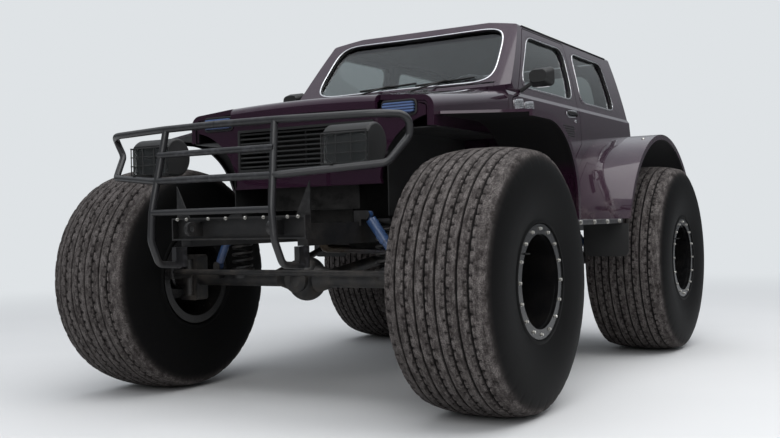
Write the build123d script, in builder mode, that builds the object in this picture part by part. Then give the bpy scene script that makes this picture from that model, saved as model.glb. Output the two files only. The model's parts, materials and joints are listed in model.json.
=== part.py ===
"""Monster truck on low-pressure balloon tyres, as an assembly of separate solids.

Millimetres. +X is forward, +Y is the vehicle's left, +Z is up. The origin lies on the ground
under the middle of the vehicle's length and width.
"""
from build123d import *
import os
from math import asin, cos, degrees, radians, sin, sqrt

os.makedirs("parts", exist_ok=True)

# Overall sizes
WHEELBASE = 2576
HALF_TRACK = 1053
FRONT_REACH = 835
REAR_REACH = 700
FRONT_AXLE_X = (WHEELBASE + REAR_REACH - FRONT_REACH) / 2
REAR_AXLE_X = FRONT_AXLE_X - WHEELBASE
AXLE_X = {"front": FRONT_AXLE_X, "rear": REAR_AXLE_X}
SIDES = {"left": 1, "right": -1}
F = FRONT_AXLE_X

# Clearances
SEAT_GAP = 0.3
MOVING_GAP = 6
RUNNING_GAP = 0.3

# Wheels
TYRE_R = 635
TYRE_HALF_WIDTH = 272
TYRE_BULGE_R = 450
TREAD_HALF_WIDTH = 230
TREAD_EDGE_R = 612
TYRE_WALL = 26
BEAD_R = 232
BEAD_HALF_WIDTH = 225
AXLE_Z = TYRE_R
RIM_WALL = 12
RIM_RING_R = 268
RIM_RING_INNER_R = 222
RIM_RING_THICK = 20
RIM_FLANGE_R = 262
RIM_DISH = 52
RIM_DISH_R = 118
RIM_HUB_OFFSET = -70
RIM_DISC_THICK = 12
HUB_R = 72
HUB_LENGTH = 48
HUB_CAP_R = 46
HUB_CAP_LENGTH = 38
SPINDLE_R = 30
SPINDLE_TIP = 24

# Axles and steering
AXLE_TUBE_R = 45
DIFF_R = 118
DIFF_NECK_R = 72
DIFF_NECK = 78
DIFF_TAPER = 170
DIFF_Y = -30
SNOUT_R = 42
SNOUT_REACH = DIFF_R + 50
KINGPIN_Y = 860
KNUCKLE_R = 38
KNUCKLE_HALF_HEIGHT = 105
YOKE_THICK = 24
YOKE_HALF_WIDTH = 46
YOKE_STEP = 30
YOKE_CORNER_R = 18
ARM_REACH = 150
ARM_THICK = 22
ARM_ROOT_WIDTH = 60
ARM_TIP_R = 21
BALL_PIN_R = 12
BALL_PIN_TIP = 8
TIE_ROD_R = 15
TIE_ROD_EYE_R = 26
TIE_ROD_EYE_HEIGHT = 36
ARM_Z = AXLE_Z - 2
HUB_FACE_Y = HALF_TRACK + RIM_HUB_OFFSET - RIM_DISC_THICK - HUB_LENGTH

# Ladder frame
RAIL_Y = 360
RAIL_WIDTH = 60
RAIL_LOW_Z = 825
RAIL_HIGH_Z = 930
RAIL_MID_Z = (RAIL_LOW_Z + RAIL_HIGH_Z) / 2
RAIL_FRONT_X = F + 570
RAIL_REAR_X = REAR_AXLE_X - 560
CROSS_TUBE_R = 30
CROSS_XS = (F - 320, F - 1220, F - 1750, REAR_AXLE_X + 330, RAIL_REAR_X + CROSS_TUBE_R)
BEAM_THICK = 8
BEAM_DEPTH = 46
BEAM_HALF_WIDTH = 410
BEAM_LOW_Z = 858
BEAM_HIGH_Z = 968
GUSSET_TOP_Z = 1128
GUSSET_OUTER_Y = 410
GUSSET_FOOT = 82
GUSSET_THICK = 6
TOW_EYE_R = 14
TOW_EYE_OUTER_R = 34
TOW_EYE_Y = 250
TOW_EYE_REACH = 40
TOW_EYE_THICK = 20
HITCH_BORE_R = 15
HITCH_HALF_WIDTH = 45
HITCH_THICK = 28

# Suspension
SPRING_Y = 470
SPRING_R = 58
SPRING_WIRE_R = 8
SPRING_TURNS = 6
SPRING_TIP = 2
SPRING_CUP_THICK = 15 - SEAT_GAP
SPRING_CUP_REACH = SPRING_R + 8
SPRING_PAD = 8
SPRING_FOOT_Z = AXLE_Z + AXLE_TUBE_R + SPRING_PAD + SEAT_GAP
SPRING_TOP_Z = RAIL_HIGH_Z - SEAT_GAP
LINK_R = 19
LINK_Y = 345
LINK_LENGTH = 700
LINK_END_Z = 790
LINK_BRACKET = 70
LINK_BRACKET_HALF = 24
LINK_HANGER_HALF = 25
DAMPER_FOOT = (62, 590, 705)
DAMPER_HEAD = {"front": (110, 430, 965), "rear": (110, 430, 905)}
DAMPER_EYE_R = 20
DAMPER_EYE_HALF = 17
DAMPER_PIN_R = 8
DAMPER_BODY_R = 22
DAMPER_SHIELD_R = 27
DAMPER_ROD_R = 9
CHEEK_THICK = 6
CHEEK_HALF = 22
CHEEK_CLEAR = 8
DAMPER_STEM_GAP = 5

# Drive line
CROSS_TOP_Z = RAIL_MID_Z + CROSS_TUBE_R
ENGINE_FRONT_X = F - 120
ENGINE_REAR_X = F - 560
ENGINE_HALF_WIDTH = 190
ENGINE_TOP_Z = 1430
BELL_REAR_X = F - 760
BOX_REAR_X = F - 1150
CASE_X = (F - 1560, F - 1300)
CASE_Y = (-220, 120)
CASE_Z = (730, 930)
CASE_FLANGE_Z = 770
INPUT_SHAFT_Y = 35
INPUT_SHAFT_Z = 820
BOX_MID_Z = 856
INPUT_SHAFT_R = 18
SHAFT_R = 32
INPUT_FLANGE_R = 40
PIPE_R = 24
SILENCER_R = 58
SILENCER_X = (F - 1620, F - 1230)
PIPE_Y = -285
PIPE_Z = 740
RADIATOR_X = (F - 70, F - 20)
RADIATOR_HALF = 300
RADIATOR_Z = (1000, 1415)
RADIATOR_TANK = 26
TANK_X = (REAR_AXLE_X - 480, REAR_AXLE_X - 180)
TANK_Y = (-200, 300)
TANK_LOW_Z = 780
TANK_CORNER_R = 35

# Body
SILL_Z = 945
BELLY_Z = 1330
BELT_Z = 1660
SHOULDER = 16
SHOULDER_DROP = 24
GLASS_BOW = 8
GUTTER_Z = 2115
ROOF_Z = 2182
ROOF_RISE = 8
SILL_Y = 768
BELLY_Y = 790
BELT_Y = 782
GUTTER_Y = 668
WALL = 44
CROWN_AXIS_Z = -7500
CABIN_HALF = 800
COWL_X = F - 850
COWL_TOP_Z = 1690
SCREEN_BASE = (F - 938, 1706)
SCREEN_TOP = (F - 1296, 2150)
ROOF_MID_X = F - 2050
TAIL_TOP = (F - 2960, 2138)
TAIL_BELT = (F - 3100, 1660)
TAIL_LOW = (F - 3150, 1150)
TAIL_TUCK = 20
TAIL_CORNER_R = 62
ROOF_EDGE_R = 22
ROOF_SPLIT_Z = 2096
SPLIT_BELT_Y = 655
SPLIT_TOP_Y = 610
SCREEN_LOW_Z = 1722
FLOOR_TOP_Z = SILL_Z + WALL
GLASS_THICK = 8
GLASS_INSET = 18
WINDOW_CORNER_R = 40
WINDOW_LOW_Z = BELT_Z + 40
ARCH_X = REAR_AXLE_X + 50
ARCH_R = 800
WHEELHOUSE_Y = 500
LINER_THICK = 6

# Doors
DOOR_FRONT_X = F - 905
DOOR_REAR_X = F - 2010
DOOR_LOW_Z = SILL_Z + WALL + MOVING_GAP
DOOR_HIGH_Z = ROOF_SPLIT_Z - MOVING_GAP
DOOR_CORNER_R = 24
DOOR_ARCH_R = 935
DOOR_HINGE_ZS = (1130, 1500)
DOOR_TUMBLE = 12
PILLAR_FOOT = 105
PILLAR_TOP = 69
FRAME_WIDTH = 44
WINDOW_FRONT_GAP = 142
WINDOW_REAR_GAP = 57
QUARTER_FRONT_GAP = 92
QUARTER_REAR_GAP = 262
HINGE_PLATE = (22, 32)
MIRROR_X = F - 1105
MIRROR_SIZE = (150, 112)
MIRROR_DEPTH = 75
MIRROR_OUT = 105
MIRROR_RISE = 90

# Tailgate
GATE_LOW_Z = 1240
GATE_HIGH_Z = 2080
GATE_HALF = 590
GATE_FLARE = 50
GATE_HINGE_Y = 400
GATE_HINGE_HALF = 30
GATE_FRAME = 38
GATE_CORNER_R = 50

# Front end
BONNET_FRONT_X = F + 80
BONNET_LIP_Z = 1507
BONNET_FOLD_Z = 1546
BONNET_FRONT_Z = 1582
BONNET_REAR_Z = 1700
BONNET_FRONT_HALF = 475
BONNET_REAR_HALF = 610
BONNET_THICK = 24
BONNET_FOLD = 48
REST_DEPTH = 18
REST_THICK = 24
REST_HALF = 500
BONNET_HINGE = (F + 62, 1488)
HINGE_YS = (-300, 300)
HINGE_PIN_R = 5
HINGE_EYE_R = 9
HINGE_HALF = 14
LUG_THICK = 6
PANEL_X = F + 40
PANEL_HIGH_Z = 1500
PANEL_LOW_Z = 1122
PANEL_THICK = 22
PANEL_ARCH = ((735, 1450), (550, 1345), (463, 1150))
PANEL_SHOULDER = ((735, 1496), (700, 1510), (BONNET_FRONT_HALF + 8, 1530))
PANEL_FOOT_HALF = 473
WING_FRONT_X = F + 46
WING_Y = 782
WING_THICK = 28
WING_LOW_Z = 1395
WING_SHOULDER = 62
GRILLE_HALF = 440
GRILLE_LOW_Z = 1215
GRILLE_HIGH_Z = 1446
GRILLE_FRAME = 14
GRILLE_SLATS = 8
SLAT_HALF = 5
APRON_Y = 500
APRON_LOW_Z = 960
INDICATOR_DEPTH = 18
INDICATOR_Y = 584
INDICATOR_Z = 1493
INDICATOR_SIZE = (180, 56)
TAIL_LAMP_Y = 702
TAIL_LAMP_Z = 1430
TAIL_LAMP_SIZE = (80, 260)
TAIL_LAMP_PROUD = 26

# Flares, running boards and mud flaps
FLARE_FRONT_X = F + 20
FLARE_Y = 1195
FLARE_THICK = 14
FLARE_LIP = 34
FLARE_TOP_Z = 1463
FLARE_REAR_X = F - 850
FLARE_CORNER_R = 450
FLARE_SLANT_X = F - 200
REAR_FLARE_R = 850
REAR_FLARE_END_X = REAR_AXLE_X - 610
BOARD_LOW_Z = 885
BOARD_THICK = 30
BOARD_Y = 1150
BOARD_INNER_Y = SILL_Y - 60
BOARD_BRACKET = 20
FLARE_FOOT_Z = BOARD_LOW_Z + BOARD_THICK + SEAT_GAP
FLAP_THICK = 8
FLAP_LOW_Z = 680
FLAP_Y = (900, 1190)

# Bull bar
HOOP_R = 17
BAR_R = 15
HOOP_HALF = [
    # x ahead of the front axle, y, z
    (745, 0, 1400),
    (724, 350, 1400),
    (600, 800, 1405),
    (505, 905, 1400),
    (470, 885, 1310),
    (576, 832, 1188),
    (772, 360, 1147),
    (790, 0, 1147),
]
HOOP_RADII = [300, 200, 60, 40, 50, 150]
POST_PATH = [
    (724, 330, 1400),
    (801, 362, 995),
    (800, 372, 860),
    (745, 376, 745),
    (600, 376, 735),
]
POST_RADII = [300, 80, 50]
CROSS_BARS = [
    # x ahead of the front axle, z, half length
    (758, 1273, 350),
    (801, 995, 362),
]
POST_MOUNT = (F + 560, F + 640)
POST_MOUNT_HALF = 14

# Headlamps
LAMP_X = F + 560
LAMP_Y = 600
LAMP_WIDTH = 250
LAMP_LOW_Z = 1186
LAMP_HEIGHT = 160
LAMP_MID_Z = LAMP_LOW_Z + LAMP_HEIGHT / 2
LAMP_DEPTH = 165
LAMP_HUMP = 34
LAMP_CORNER_R = 20
LAMP_EDGE_R = 14
LAMP_WALL = 8
LENS_THICK = 16
LAMP_FOOT_X = F + 684
LAMP_FOOT_HALF = 12
GUARD_R = 3
GUARD_STAND = 16
GUARD_YS = (-121, -40, 40, 121)
GUARD_ZS = (-68, -23, 23, 68)

# Inside the cabin
DASH_FRONT_X = COWL_X - WALL - SEAT_GAP
DASH_HALF = 640
DASH_LOW_Z = 1430
DASH_HIGH_Z = 1615
DASH_REACH = 260
COLUMN_Y = 370
COLUMN_TILT = 28
COLUMN_R = 22
COLUMN_LENGTH = 160
STEER_WHEEL_X = F - 1270
STEER_WHEEL_Z = 1640
STEER_RIM_R = 190
STEER_RIM_TUBE_R = 14
STEER_HUB_R = 34
STEER_HUB_DEPTH = 46
SEAT_Y = 350
SEAT_WIDTH = 490
SEAT_FRONT_X = F - 1400
SEAT_REAR_X = F - 1830
SEAT_TOP_Z = 1780
CUSHION_Z = 1335
REAR_SEAT_X = F - 2260
REAR_SEAT_END_X = F - 2640
REAR_SEAT_TOP_Z = 1700
SEAT_ROUND = 22


def screen_x(z):
    """Where the windscreen's outer face lies at a height."""
    lean = (SCREEN_TOP[0] - SCREEN_BASE[0]) / (SCREEN_TOP[1] - SCREEN_BASE[1])
    return SCREEN_BASE[0] + lean * (z - SCREEN_BASE[1])


def tail_x(z):
    """Where the tail panel's outer face lies at a height."""
    low, high = (TAIL_LOW, TAIL_BELT) if z < TAIL_BELT[1] else (TAIL_BELT, TAIL_TOP)
    return low[0] + (high[0] - low[0]) * (z - low[1]) / (high[1] - low[1])


def crown_drop(y, z):
    """How far the body's crown has fallen at a distance from the middle."""
    return y**2 / (2 * (z - CROWN_AXIS_Z))


# Outlines in side view (x, z) and seen from behind (y, z)
WINDOW_HIGH_Z = DOOR_HIGH_Z - FRAME_WIDTH
DOOR_OUTLINE = [
    (DOOR_FRONT_X, DOOR_LOW_Z),
    (DOOR_FRONT_X, BELT_Z - 42),
    (screen_x(BELT_Z) - PILLAR_FOOT, BELT_Z - 20),
    (screen_x(DOOR_HIGH_Z) - PILLAR_TOP, DOOR_HIGH_Z),
    (DOOR_REAR_X + DOOR_TUMBLE, DOOR_HIGH_Z),
    (DOOR_REAR_X, BELT_Z),
    (DOOR_REAR_X, DOOR_LOW_Z),
]
DOOR_WINDOW = [
    (screen_x(WINDOW_LOW_Z) - WINDOW_FRONT_GAP, WINDOW_LOW_Z),
    (screen_x(WINDOW_HIGH_Z) - WINDOW_FRONT_GAP, WINDOW_HIGH_Z),
    (DOOR_REAR_X + WINDOW_REAR_GAP, WINDOW_HIGH_Z),
    (DOOR_REAR_X + WINDOW_REAR_GAP, WINDOW_LOW_Z),
]
QUARTER_WINDOW = [
    (DOOR_REAR_X - QUARTER_FRONT_GAP, WINDOW_LOW_Z),
    (DOOR_REAR_X - QUARTER_FRONT_GAP, WINDOW_HIGH_Z),
    (tail_x(WINDOW_HIGH_Z) + QUARTER_REAR_GAP, WINDOW_HIGH_Z),
    (tail_x(WINDOW_LOW_Z) + QUARTER_REAR_GAP, WINDOW_LOW_Z),
]
GATE_OUTLINE = [
    (GATE_HALF + GATE_FLARE, GATE_LOW_Z),
    (GATE_HALF + GATE_FLARE, BELT_Z),
    (GATE_HALF, GATE_HIGH_Z),
    (-GATE_HALF, GATE_HIGH_Z),
    (-GATE_HALF - GATE_FLARE, BELT_Z),
    (-GATE_HALF - GATE_FLARE, GATE_LOW_Z),
]
GATE_WINDOW = [
    (GATE_HALF - GATE_FRAME, WINDOW_LOW_Z),
    (GATE_HALF - 2 * GATE_FRAME, GATE_HIGH_Z - 60),
    (-GATE_HALF + 2 * GATE_FRAME, GATE_HIGH_Z - 60),
    (-GATE_HALF + GATE_FRAME, WINDOW_LOW_Z),
]


def block(x0, x1, y0, y1, z0, z1):
    """A box between two corners, joined to the open part."""
    with Locations(((x0 + x1) / 2, (y0 + y1) / 2, (z0 + z1) / 2)):
        Box(abs(x1 - x0), abs(y1 - y0), abs(z1 - z0))


def tube(start, end, radius, mode=Mode.ADD):
    """A round bar from one point to another."""
    begin, finish = Vector(*start), Vector(*end)
    with BuildSketch(Plane(origin=begin, z_dir=finish - begin)) as disc:
        Circle(radius)
    extrude(disc.sketch, amount=(finish - begin).length, mode=mode)


def side_prism(points, y0, y1, corner_r=0):
    """A side-view outline (x, z) carried from y0 to y1, its corners rounded on request."""
    with BuildSketch(Plane.XZ.offset(-y0)) as outline:
        with BuildLine():
            Polyline(*points, close=True)
        make_face()
        if corner_r:
            fillet(outline.vertices(), corner_r)
    extrude(outline.sketch, amount=-(y1 - y0))


def end_prism(points, x0, x1, mode=Mode.ADD):
    """An outline seen from behind (y, z), carried from x0 to x1."""
    with BuildSketch(Plane.YZ.offset(x0)) as outline:
        with BuildLine():
            Polyline(*points, close=True)
        make_face()
    extrude(outline.sketch, amount=x1 - x0, mode=mode)


def crown_plane(turn):
    """The middle side-view plane, swung about the axis of the body's crown by an angle in degrees."""
    reach = -CROWN_AXIS_Z
    swing = radians(turn)
    return Plane(
        origin=(0, reach * sin(swing), CROWN_AXIS_Z + reach * cos(swing)),
        x_dir=(1, 0, 0),
        z_dir=(0, -cos(swing), sin(swing)),
    )


def crown_turn(half_width, z):
    """The swing in degrees that reaches half a width at a height."""
    return degrees(asin(half_width / (z - CROWN_AXIS_Z)))


CROWN_AXIS = Axis((0, 0, CROWN_AXIS_Z), (1, 0, 0))

# Wheels: tyre and rim of each corner
for end, axle_x in AXLE_X.items():
    for side, sign in SIDES.items():
        centre = (axle_x, sign * HALF_TRACK, AXLE_Z)
        axis = Axis(centre, (0, 1, 0))
        section = Plane(origin=centre, x_dir=(0, sign, 0), z_dir=(sign, 0, 0))
        with BuildPart() as tyre:
            with BuildSketch(section):
                with BuildLine():
                    foot = (BEAD_HALF_WIDTH, BEAD_R + SEAT_GAP)
                    toe = (BEAD_HALF_WIDTH - TYRE_WALL, BEAD_R + SEAT_GAP)
                    for wall, start in ((0, foot), (TYRE_WALL, toe)):
                        root = (start[0], RIM_RING_R + 8)
                        edge = (TREAD_HALF_WIDTH - wall, TREAD_EDGE_R - wall)
                        bulge = TYRE_HALF_WIDTH - wall
                        Line(start, root)
                        ThreePointArc(root, (bulge, TYRE_BULGE_R), edge)
                        ThreePointArc(edge, (0, TYRE_R - wall), (-edge[0], edge[1]))
                        ThreePointArc((-edge[0], edge[1]), (-bulge, TYRE_BULGE_R), (-root[0], root[1]))
                        Line((-root[0], root[1]), (-start[0], start[1]))
                    Line(foot, toe)
                    Line((-foot[0], foot[1]), (-toe[0], toe[1]))
                make_face()
            revolve(axis=axis)
        tyre.part.label = f"tyre_{end}_{side}"
        export_step(tyre.part, f"parts/tyre_{end}_{side}.step")

        # Barrel with a clamp ring outside and a flange inside, dished disc, hub and hub cap
        with BuildPart() as rim:
            with BuildSketch(section):
                with Locations((0, BEAD_R - RIM_WALL / 2)):
                    Rectangle(2 * BEAD_HALF_WIDTH + 2, RIM_WALL)
                ring_y = BEAD_HALF_WIDTH + 1 + RIM_RING_THICK / 2
                with Locations((ring_y, (RIM_RING_R + RIM_RING_INNER_R) / 2)):
                    Rectangle(RIM_RING_THICK, RIM_RING_R - RIM_RING_INNER_R)
                with Locations((-ring_y, (RIM_FLANGE_R + BEAD_R - RIM_WALL) / 2)):
                    Rectangle(RIM_RING_THICK, RIM_FLANGE_R - BEAD_R + RIM_WALL)
                with BuildLine():
                    outer_y = RIM_HUB_OFFSET + RIM_DISH
                    bore_r = SPINDLE_R + RUNNING_GAP
                    Polyline(
                        (outer_y, BEAD_R - RIM_WALL / 2),
                        (outer_y, BEAD_R - 2 * RIM_WALL),
                        (RIM_HUB_OFFSET, RIM_DISH_R),
                        (RIM_HUB_OFFSET, bore_r),
                        (RIM_HUB_OFFSET - RIM_DISC_THICK - HUB_LENGTH, bore_r),
                        (RIM_HUB_OFFSET - RIM_DISC_THICK - HUB_LENGTH, HUB_R - 8),
                        (RIM_HUB_OFFSET - RIM_DISC_THICK - HUB_LENGTH + 8, HUB_R),
                        (RIM_HUB_OFFSET - RIM_DISC_THICK, HUB_R),
                        (RIM_HUB_OFFSET - RIM_DISC_THICK, RIM_DISH_R + RIM_DISC_THICK / 2),
                        (outer_y - RIM_DISC_THICK, BEAD_R - 2 * RIM_WALL + RIM_DISC_THICK / 2),
                        (outer_y - RIM_DISC_THICK, BEAD_R - RIM_WALL / 2),
                        close=True,
                    )
                make_face()
                with BuildLine():
                    cap_y = RIM_HUB_OFFSET + HUB_CAP_LENGTH
                    Polyline(
                        (RIM_HUB_OFFSET - 1, bore_r),
                        (cap_y - 6, bore_r),
                        (cap_y - 6, 0),
                        (cap_y, 0),
                        (cap_y, HUB_CAP_R - 10),
                        (cap_y - 10, HUB_CAP_R),
                        (RIM_HUB_OFFSET - 1, HUB_CAP_R),
                        close=True,
                    )
                make_face()
            revolve(axis=axis)
        rim.part.label = f"rim_{end}_{side}"
        export_step(rim.part, f"parts/rim_{end}_{side}.step")

# Steering knuckles: kingpin barrel, spindle, straight steering arm with its ball pin. Both arms
# point the same way, so that knuckles and tie rod move as a parallelogram.
for side, sign in SIDES.items():
    pivot_y = sign * KINGPIN_Y
    with BuildPart() as knuckle:
        tube(
            (F, pivot_y, AXLE_Z - KNUCKLE_HALF_HEIGHT),
            (F, pivot_y, AXLE_Z + KNUCKLE_HALF_HEIGHT),
            KNUCKLE_R,
        )
        tube((F, pivot_y, AXLE_Z), (F, sign * (HUB_FACE_Y - 2), AXLE_Z), HUB_R - 14)
        tube((F, pivot_y, AXLE_Z), (F, sign * (HALF_TRACK + RIM_HUB_OFFSET + SPINDLE_TIP), AXLE_Z), SPINDLE_R)
        with BuildSketch(Plane.XY.offset(ARM_Z)) as arm:
            with BuildLine():
                Polyline(
                    (F, pivot_y + ARM_ROOT_WIDTH / 2),
                    (F, pivot_y - ARM_ROOT_WIDTH / 2),
                    (F + ARM_REACH, pivot_y - ARM_TIP_R),
                    (F + ARM_REACH, pivot_y + ARM_TIP_R),
                    close=True,
                )
            make_face()
            with Locations((F + ARM_REACH, pivot_y)):
                Circle(ARM_TIP_R)
        extrude(arm.sketch, amount=ARM_THICK)
        pin_top_z = ARM_Z + ARM_THICK + TIE_ROD_EYE_HEIGHT + BALL_PIN_TIP
        tube((F + ARM_REACH, pivot_y, ARM_Z + ARM_THICK), (F + ARM_REACH, pivot_y, pin_top_z), BALL_PIN_R)
    knuckle.part.label = f"steering_knuckle_{side}"
    export_step(knuckle.part, f"parts/steering_knuckle_{side}.step")

# Tie rod with an eye over each arm's ball pin
eye_low_z = ARM_Z + ARM_THICK + SEAT_GAP
eye_mid_z = eye_low_z + TIE_ROD_EYE_HEIGHT / 2
with BuildPart() as tie_rod:
    tube((F + ARM_REACH, -KINGPIN_Y, eye_mid_z), (F + ARM_REACH, KINGPIN_Y, eye_mid_z), TIE_ROD_R)
    for sign in SIDES.values():
        eye = (F + ARM_REACH, sign * KINGPIN_Y)
        tube((*eye, eye_low_z), (*eye, eye_low_z + TIE_ROD_EYE_HEIGHT), TIE_ROD_EYE_R)
    for sign in SIDES.values():
        eye = (F + ARM_REACH, sign * KINGPIN_Y)
        pin_hole_r = BALL_PIN_R + RUNNING_GAP
        tube((*eye, eye_low_z - 1), (*eye, eye_low_z + TIE_ROD_EYE_HEIGHT + 1), pin_hole_r, Mode.SUBTRACT)
tie_rod.part.label = "tie_rod"
export_step(tie_rod.part, "parts/tie_rod.step")


def axle_casing(axle_x, end_y, toward):
    """Axle tubes that swell into the differential's casing, and the snout for its shaft."""
    with BuildSketch(Plane(origin=(axle_x, 0, AXLE_Z), x_dir=(0, 1, 0), z_dir=(1, 0, 0))) as outline:
        with BuildLine():
            left_neck = (DIFF_Y + DIFF_NECK, DIFF_NECK_R)
            right_neck = (DIFF_Y - DIFF_NECK, DIFF_NECK_R)
            Polyline(left_neck, (DIFF_Y + DIFF_TAPER, AXLE_TUBE_R), (end_y, AXLE_TUBE_R), (end_y, 0))
            Line((end_y, 0), (-end_y, 0))
            Polyline((-end_y, 0), (-end_y, AXLE_TUBE_R), (DIFF_Y - DIFF_TAPER, AXLE_TUBE_R), right_neck)
            ThreePointArc(right_neck, (DIFF_Y, DIFF_R), left_neck)
        make_face()
    revolve(outline.sketch, axis=Axis((axle_x, 0, AXLE_Z), (0, 1, 0)))
    snout = axle_x + toward * SNOUT_REACH
    with BuildSketch(Plane(origin=(axle_x, DIFF_Y, AXLE_Z), x_dir=(0, 1, 0), z_dir=(toward, 0, 0))) as root:
        Circle(DIFF_NECK_R + 14)
    with BuildSketch(Plane(origin=(snout, DIFF_Y, AXLE_Z), x_dir=(0, 1, 0), z_dir=(toward, 0, 0))) as tip:
        Circle(SNOUT_R)
    loft([root.sketch, tip.sketch])
    tube((axle_x - toward * 112, DIFF_Y, AXLE_Z), (axle_x - toward * 40, DIFF_Y, AXLE_Z), DIFF_NECK_R - 4)
    for sign in SIDES.values():
        tube(
            (axle_x, sign * SPRING_Y, AXLE_Z),
            (axle_x, sign * SPRING_Y, SPRING_FOOT_Z - SEAT_GAP),
            SPRING_R + 6,
        )
        bracket = (axle_x, axle_x + toward * LINK_BRACKET)
        bracket_y = (sign * LINK_Y - LINK_BRACKET_HALF, sign * LINK_Y + LINK_BRACKET_HALF)
        block(*bracket, *bracket_y, AXLE_Z - 30, AXLE_Z + 30)


def damper_cheeks(x, y, z, root_y, root_z):
    """Two round-ended cheeks with a pin for a damper's eye, their roots spanning a height and a width."""
    reach = DAMPER_EYE_HALF + SEAT_GAP
    for cheek_x in (x - reach - CHEEK_THICK, x + reach):
        tube((cheek_x, y, z), (cheek_x + CHEEK_THICK, y, z), CHEEK_HALF)
        block(cheek_x, cheek_x + CHEEK_THICK, *root_y, *root_z)
    tube((x - reach - CHEEK_THICK, y, z), (x + reach + CHEEK_THICK, y, z), DAMPER_PIN_R)


def damper_foot(x, y, z):
    """A damper's lower bracket on top of an axle casing."""
    width = (y - CHEEK_HALF, y + CHEEK_HALF)
    damper_cheeks(x, y, z, width, (AXLE_Z, z))
    base = DAMPER_EYE_HALF + SEAT_GAP + CHEEK_THICK
    block(x - base, x + base, *width, AXLE_Z, AXLE_Z + AXLE_TUBE_R)


# Front axle: casing and the yokes that hold the kingpin barrels
with BuildPart() as front_axle:
    yoke_y = KINGPIN_Y - KNUCKLE_R - YOKE_STEP
    axle_casing(FRONT_AXLE_X, yoke_y, -1)
    for sign in SIDES.values():
        with BuildSketch(Plane.YZ.offset(F - YOKE_HALF_WIDTH)) as yoke:
            inner_y = sign * (yoke_y - YOKE_THICK)
            outer_y = sign * (KINGPIN_Y + KNUCKLE_R)
            ear_z = KNUCKLE_HALF_HEIGHT + SEAT_GAP
            with Locations(((inner_y + outer_y) / 2, AXLE_Z)):
                RectangleRounded(abs(outer_y - inner_y), 2 * (ear_z + YOKE_THICK), YOKE_CORNER_R)
            with Locations((outer_y, AXLE_Z)):
                Rectangle(2 * abs(outer_y - sign * yoke_y), 2 * ear_z, mode=Mode.SUBTRACT)
        extrude(yoke.sketch, amount=2 * YOKE_HALF_WIDTH)
        foot_x, foot_y, foot_z = DAMPER_FOOT
        damper_foot(F + foot_x, sign * foot_y, foot_z)
front_axle.part.label = "front_axle"
export_step(front_axle.part, "parts/front_axle.step")

# Rear axle: casing and the spindles that the rear hubs turn on
with BuildPart() as rear_axle:
    axle_casing(REAR_AXLE_X, HUB_FACE_Y - 2, 1)
    spindle_end = HALF_TRACK + RIM_HUB_OFFSET + SPINDLE_TIP
    tube((REAR_AXLE_X, -spindle_end, AXLE_Z), (REAR_AXLE_X, spindle_end, AXLE_Z), SPINDLE_R)
    for sign in SIDES.values():
        foot_x, foot_y, foot_z = DAMPER_FOOT
        damper_foot(REAR_AXLE_X - foot_x, sign * foot_y, foot_z)
rear_axle.part.label = "rear_axle"
export_step(rear_axle.part, "parts/rear_axle.step")

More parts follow.
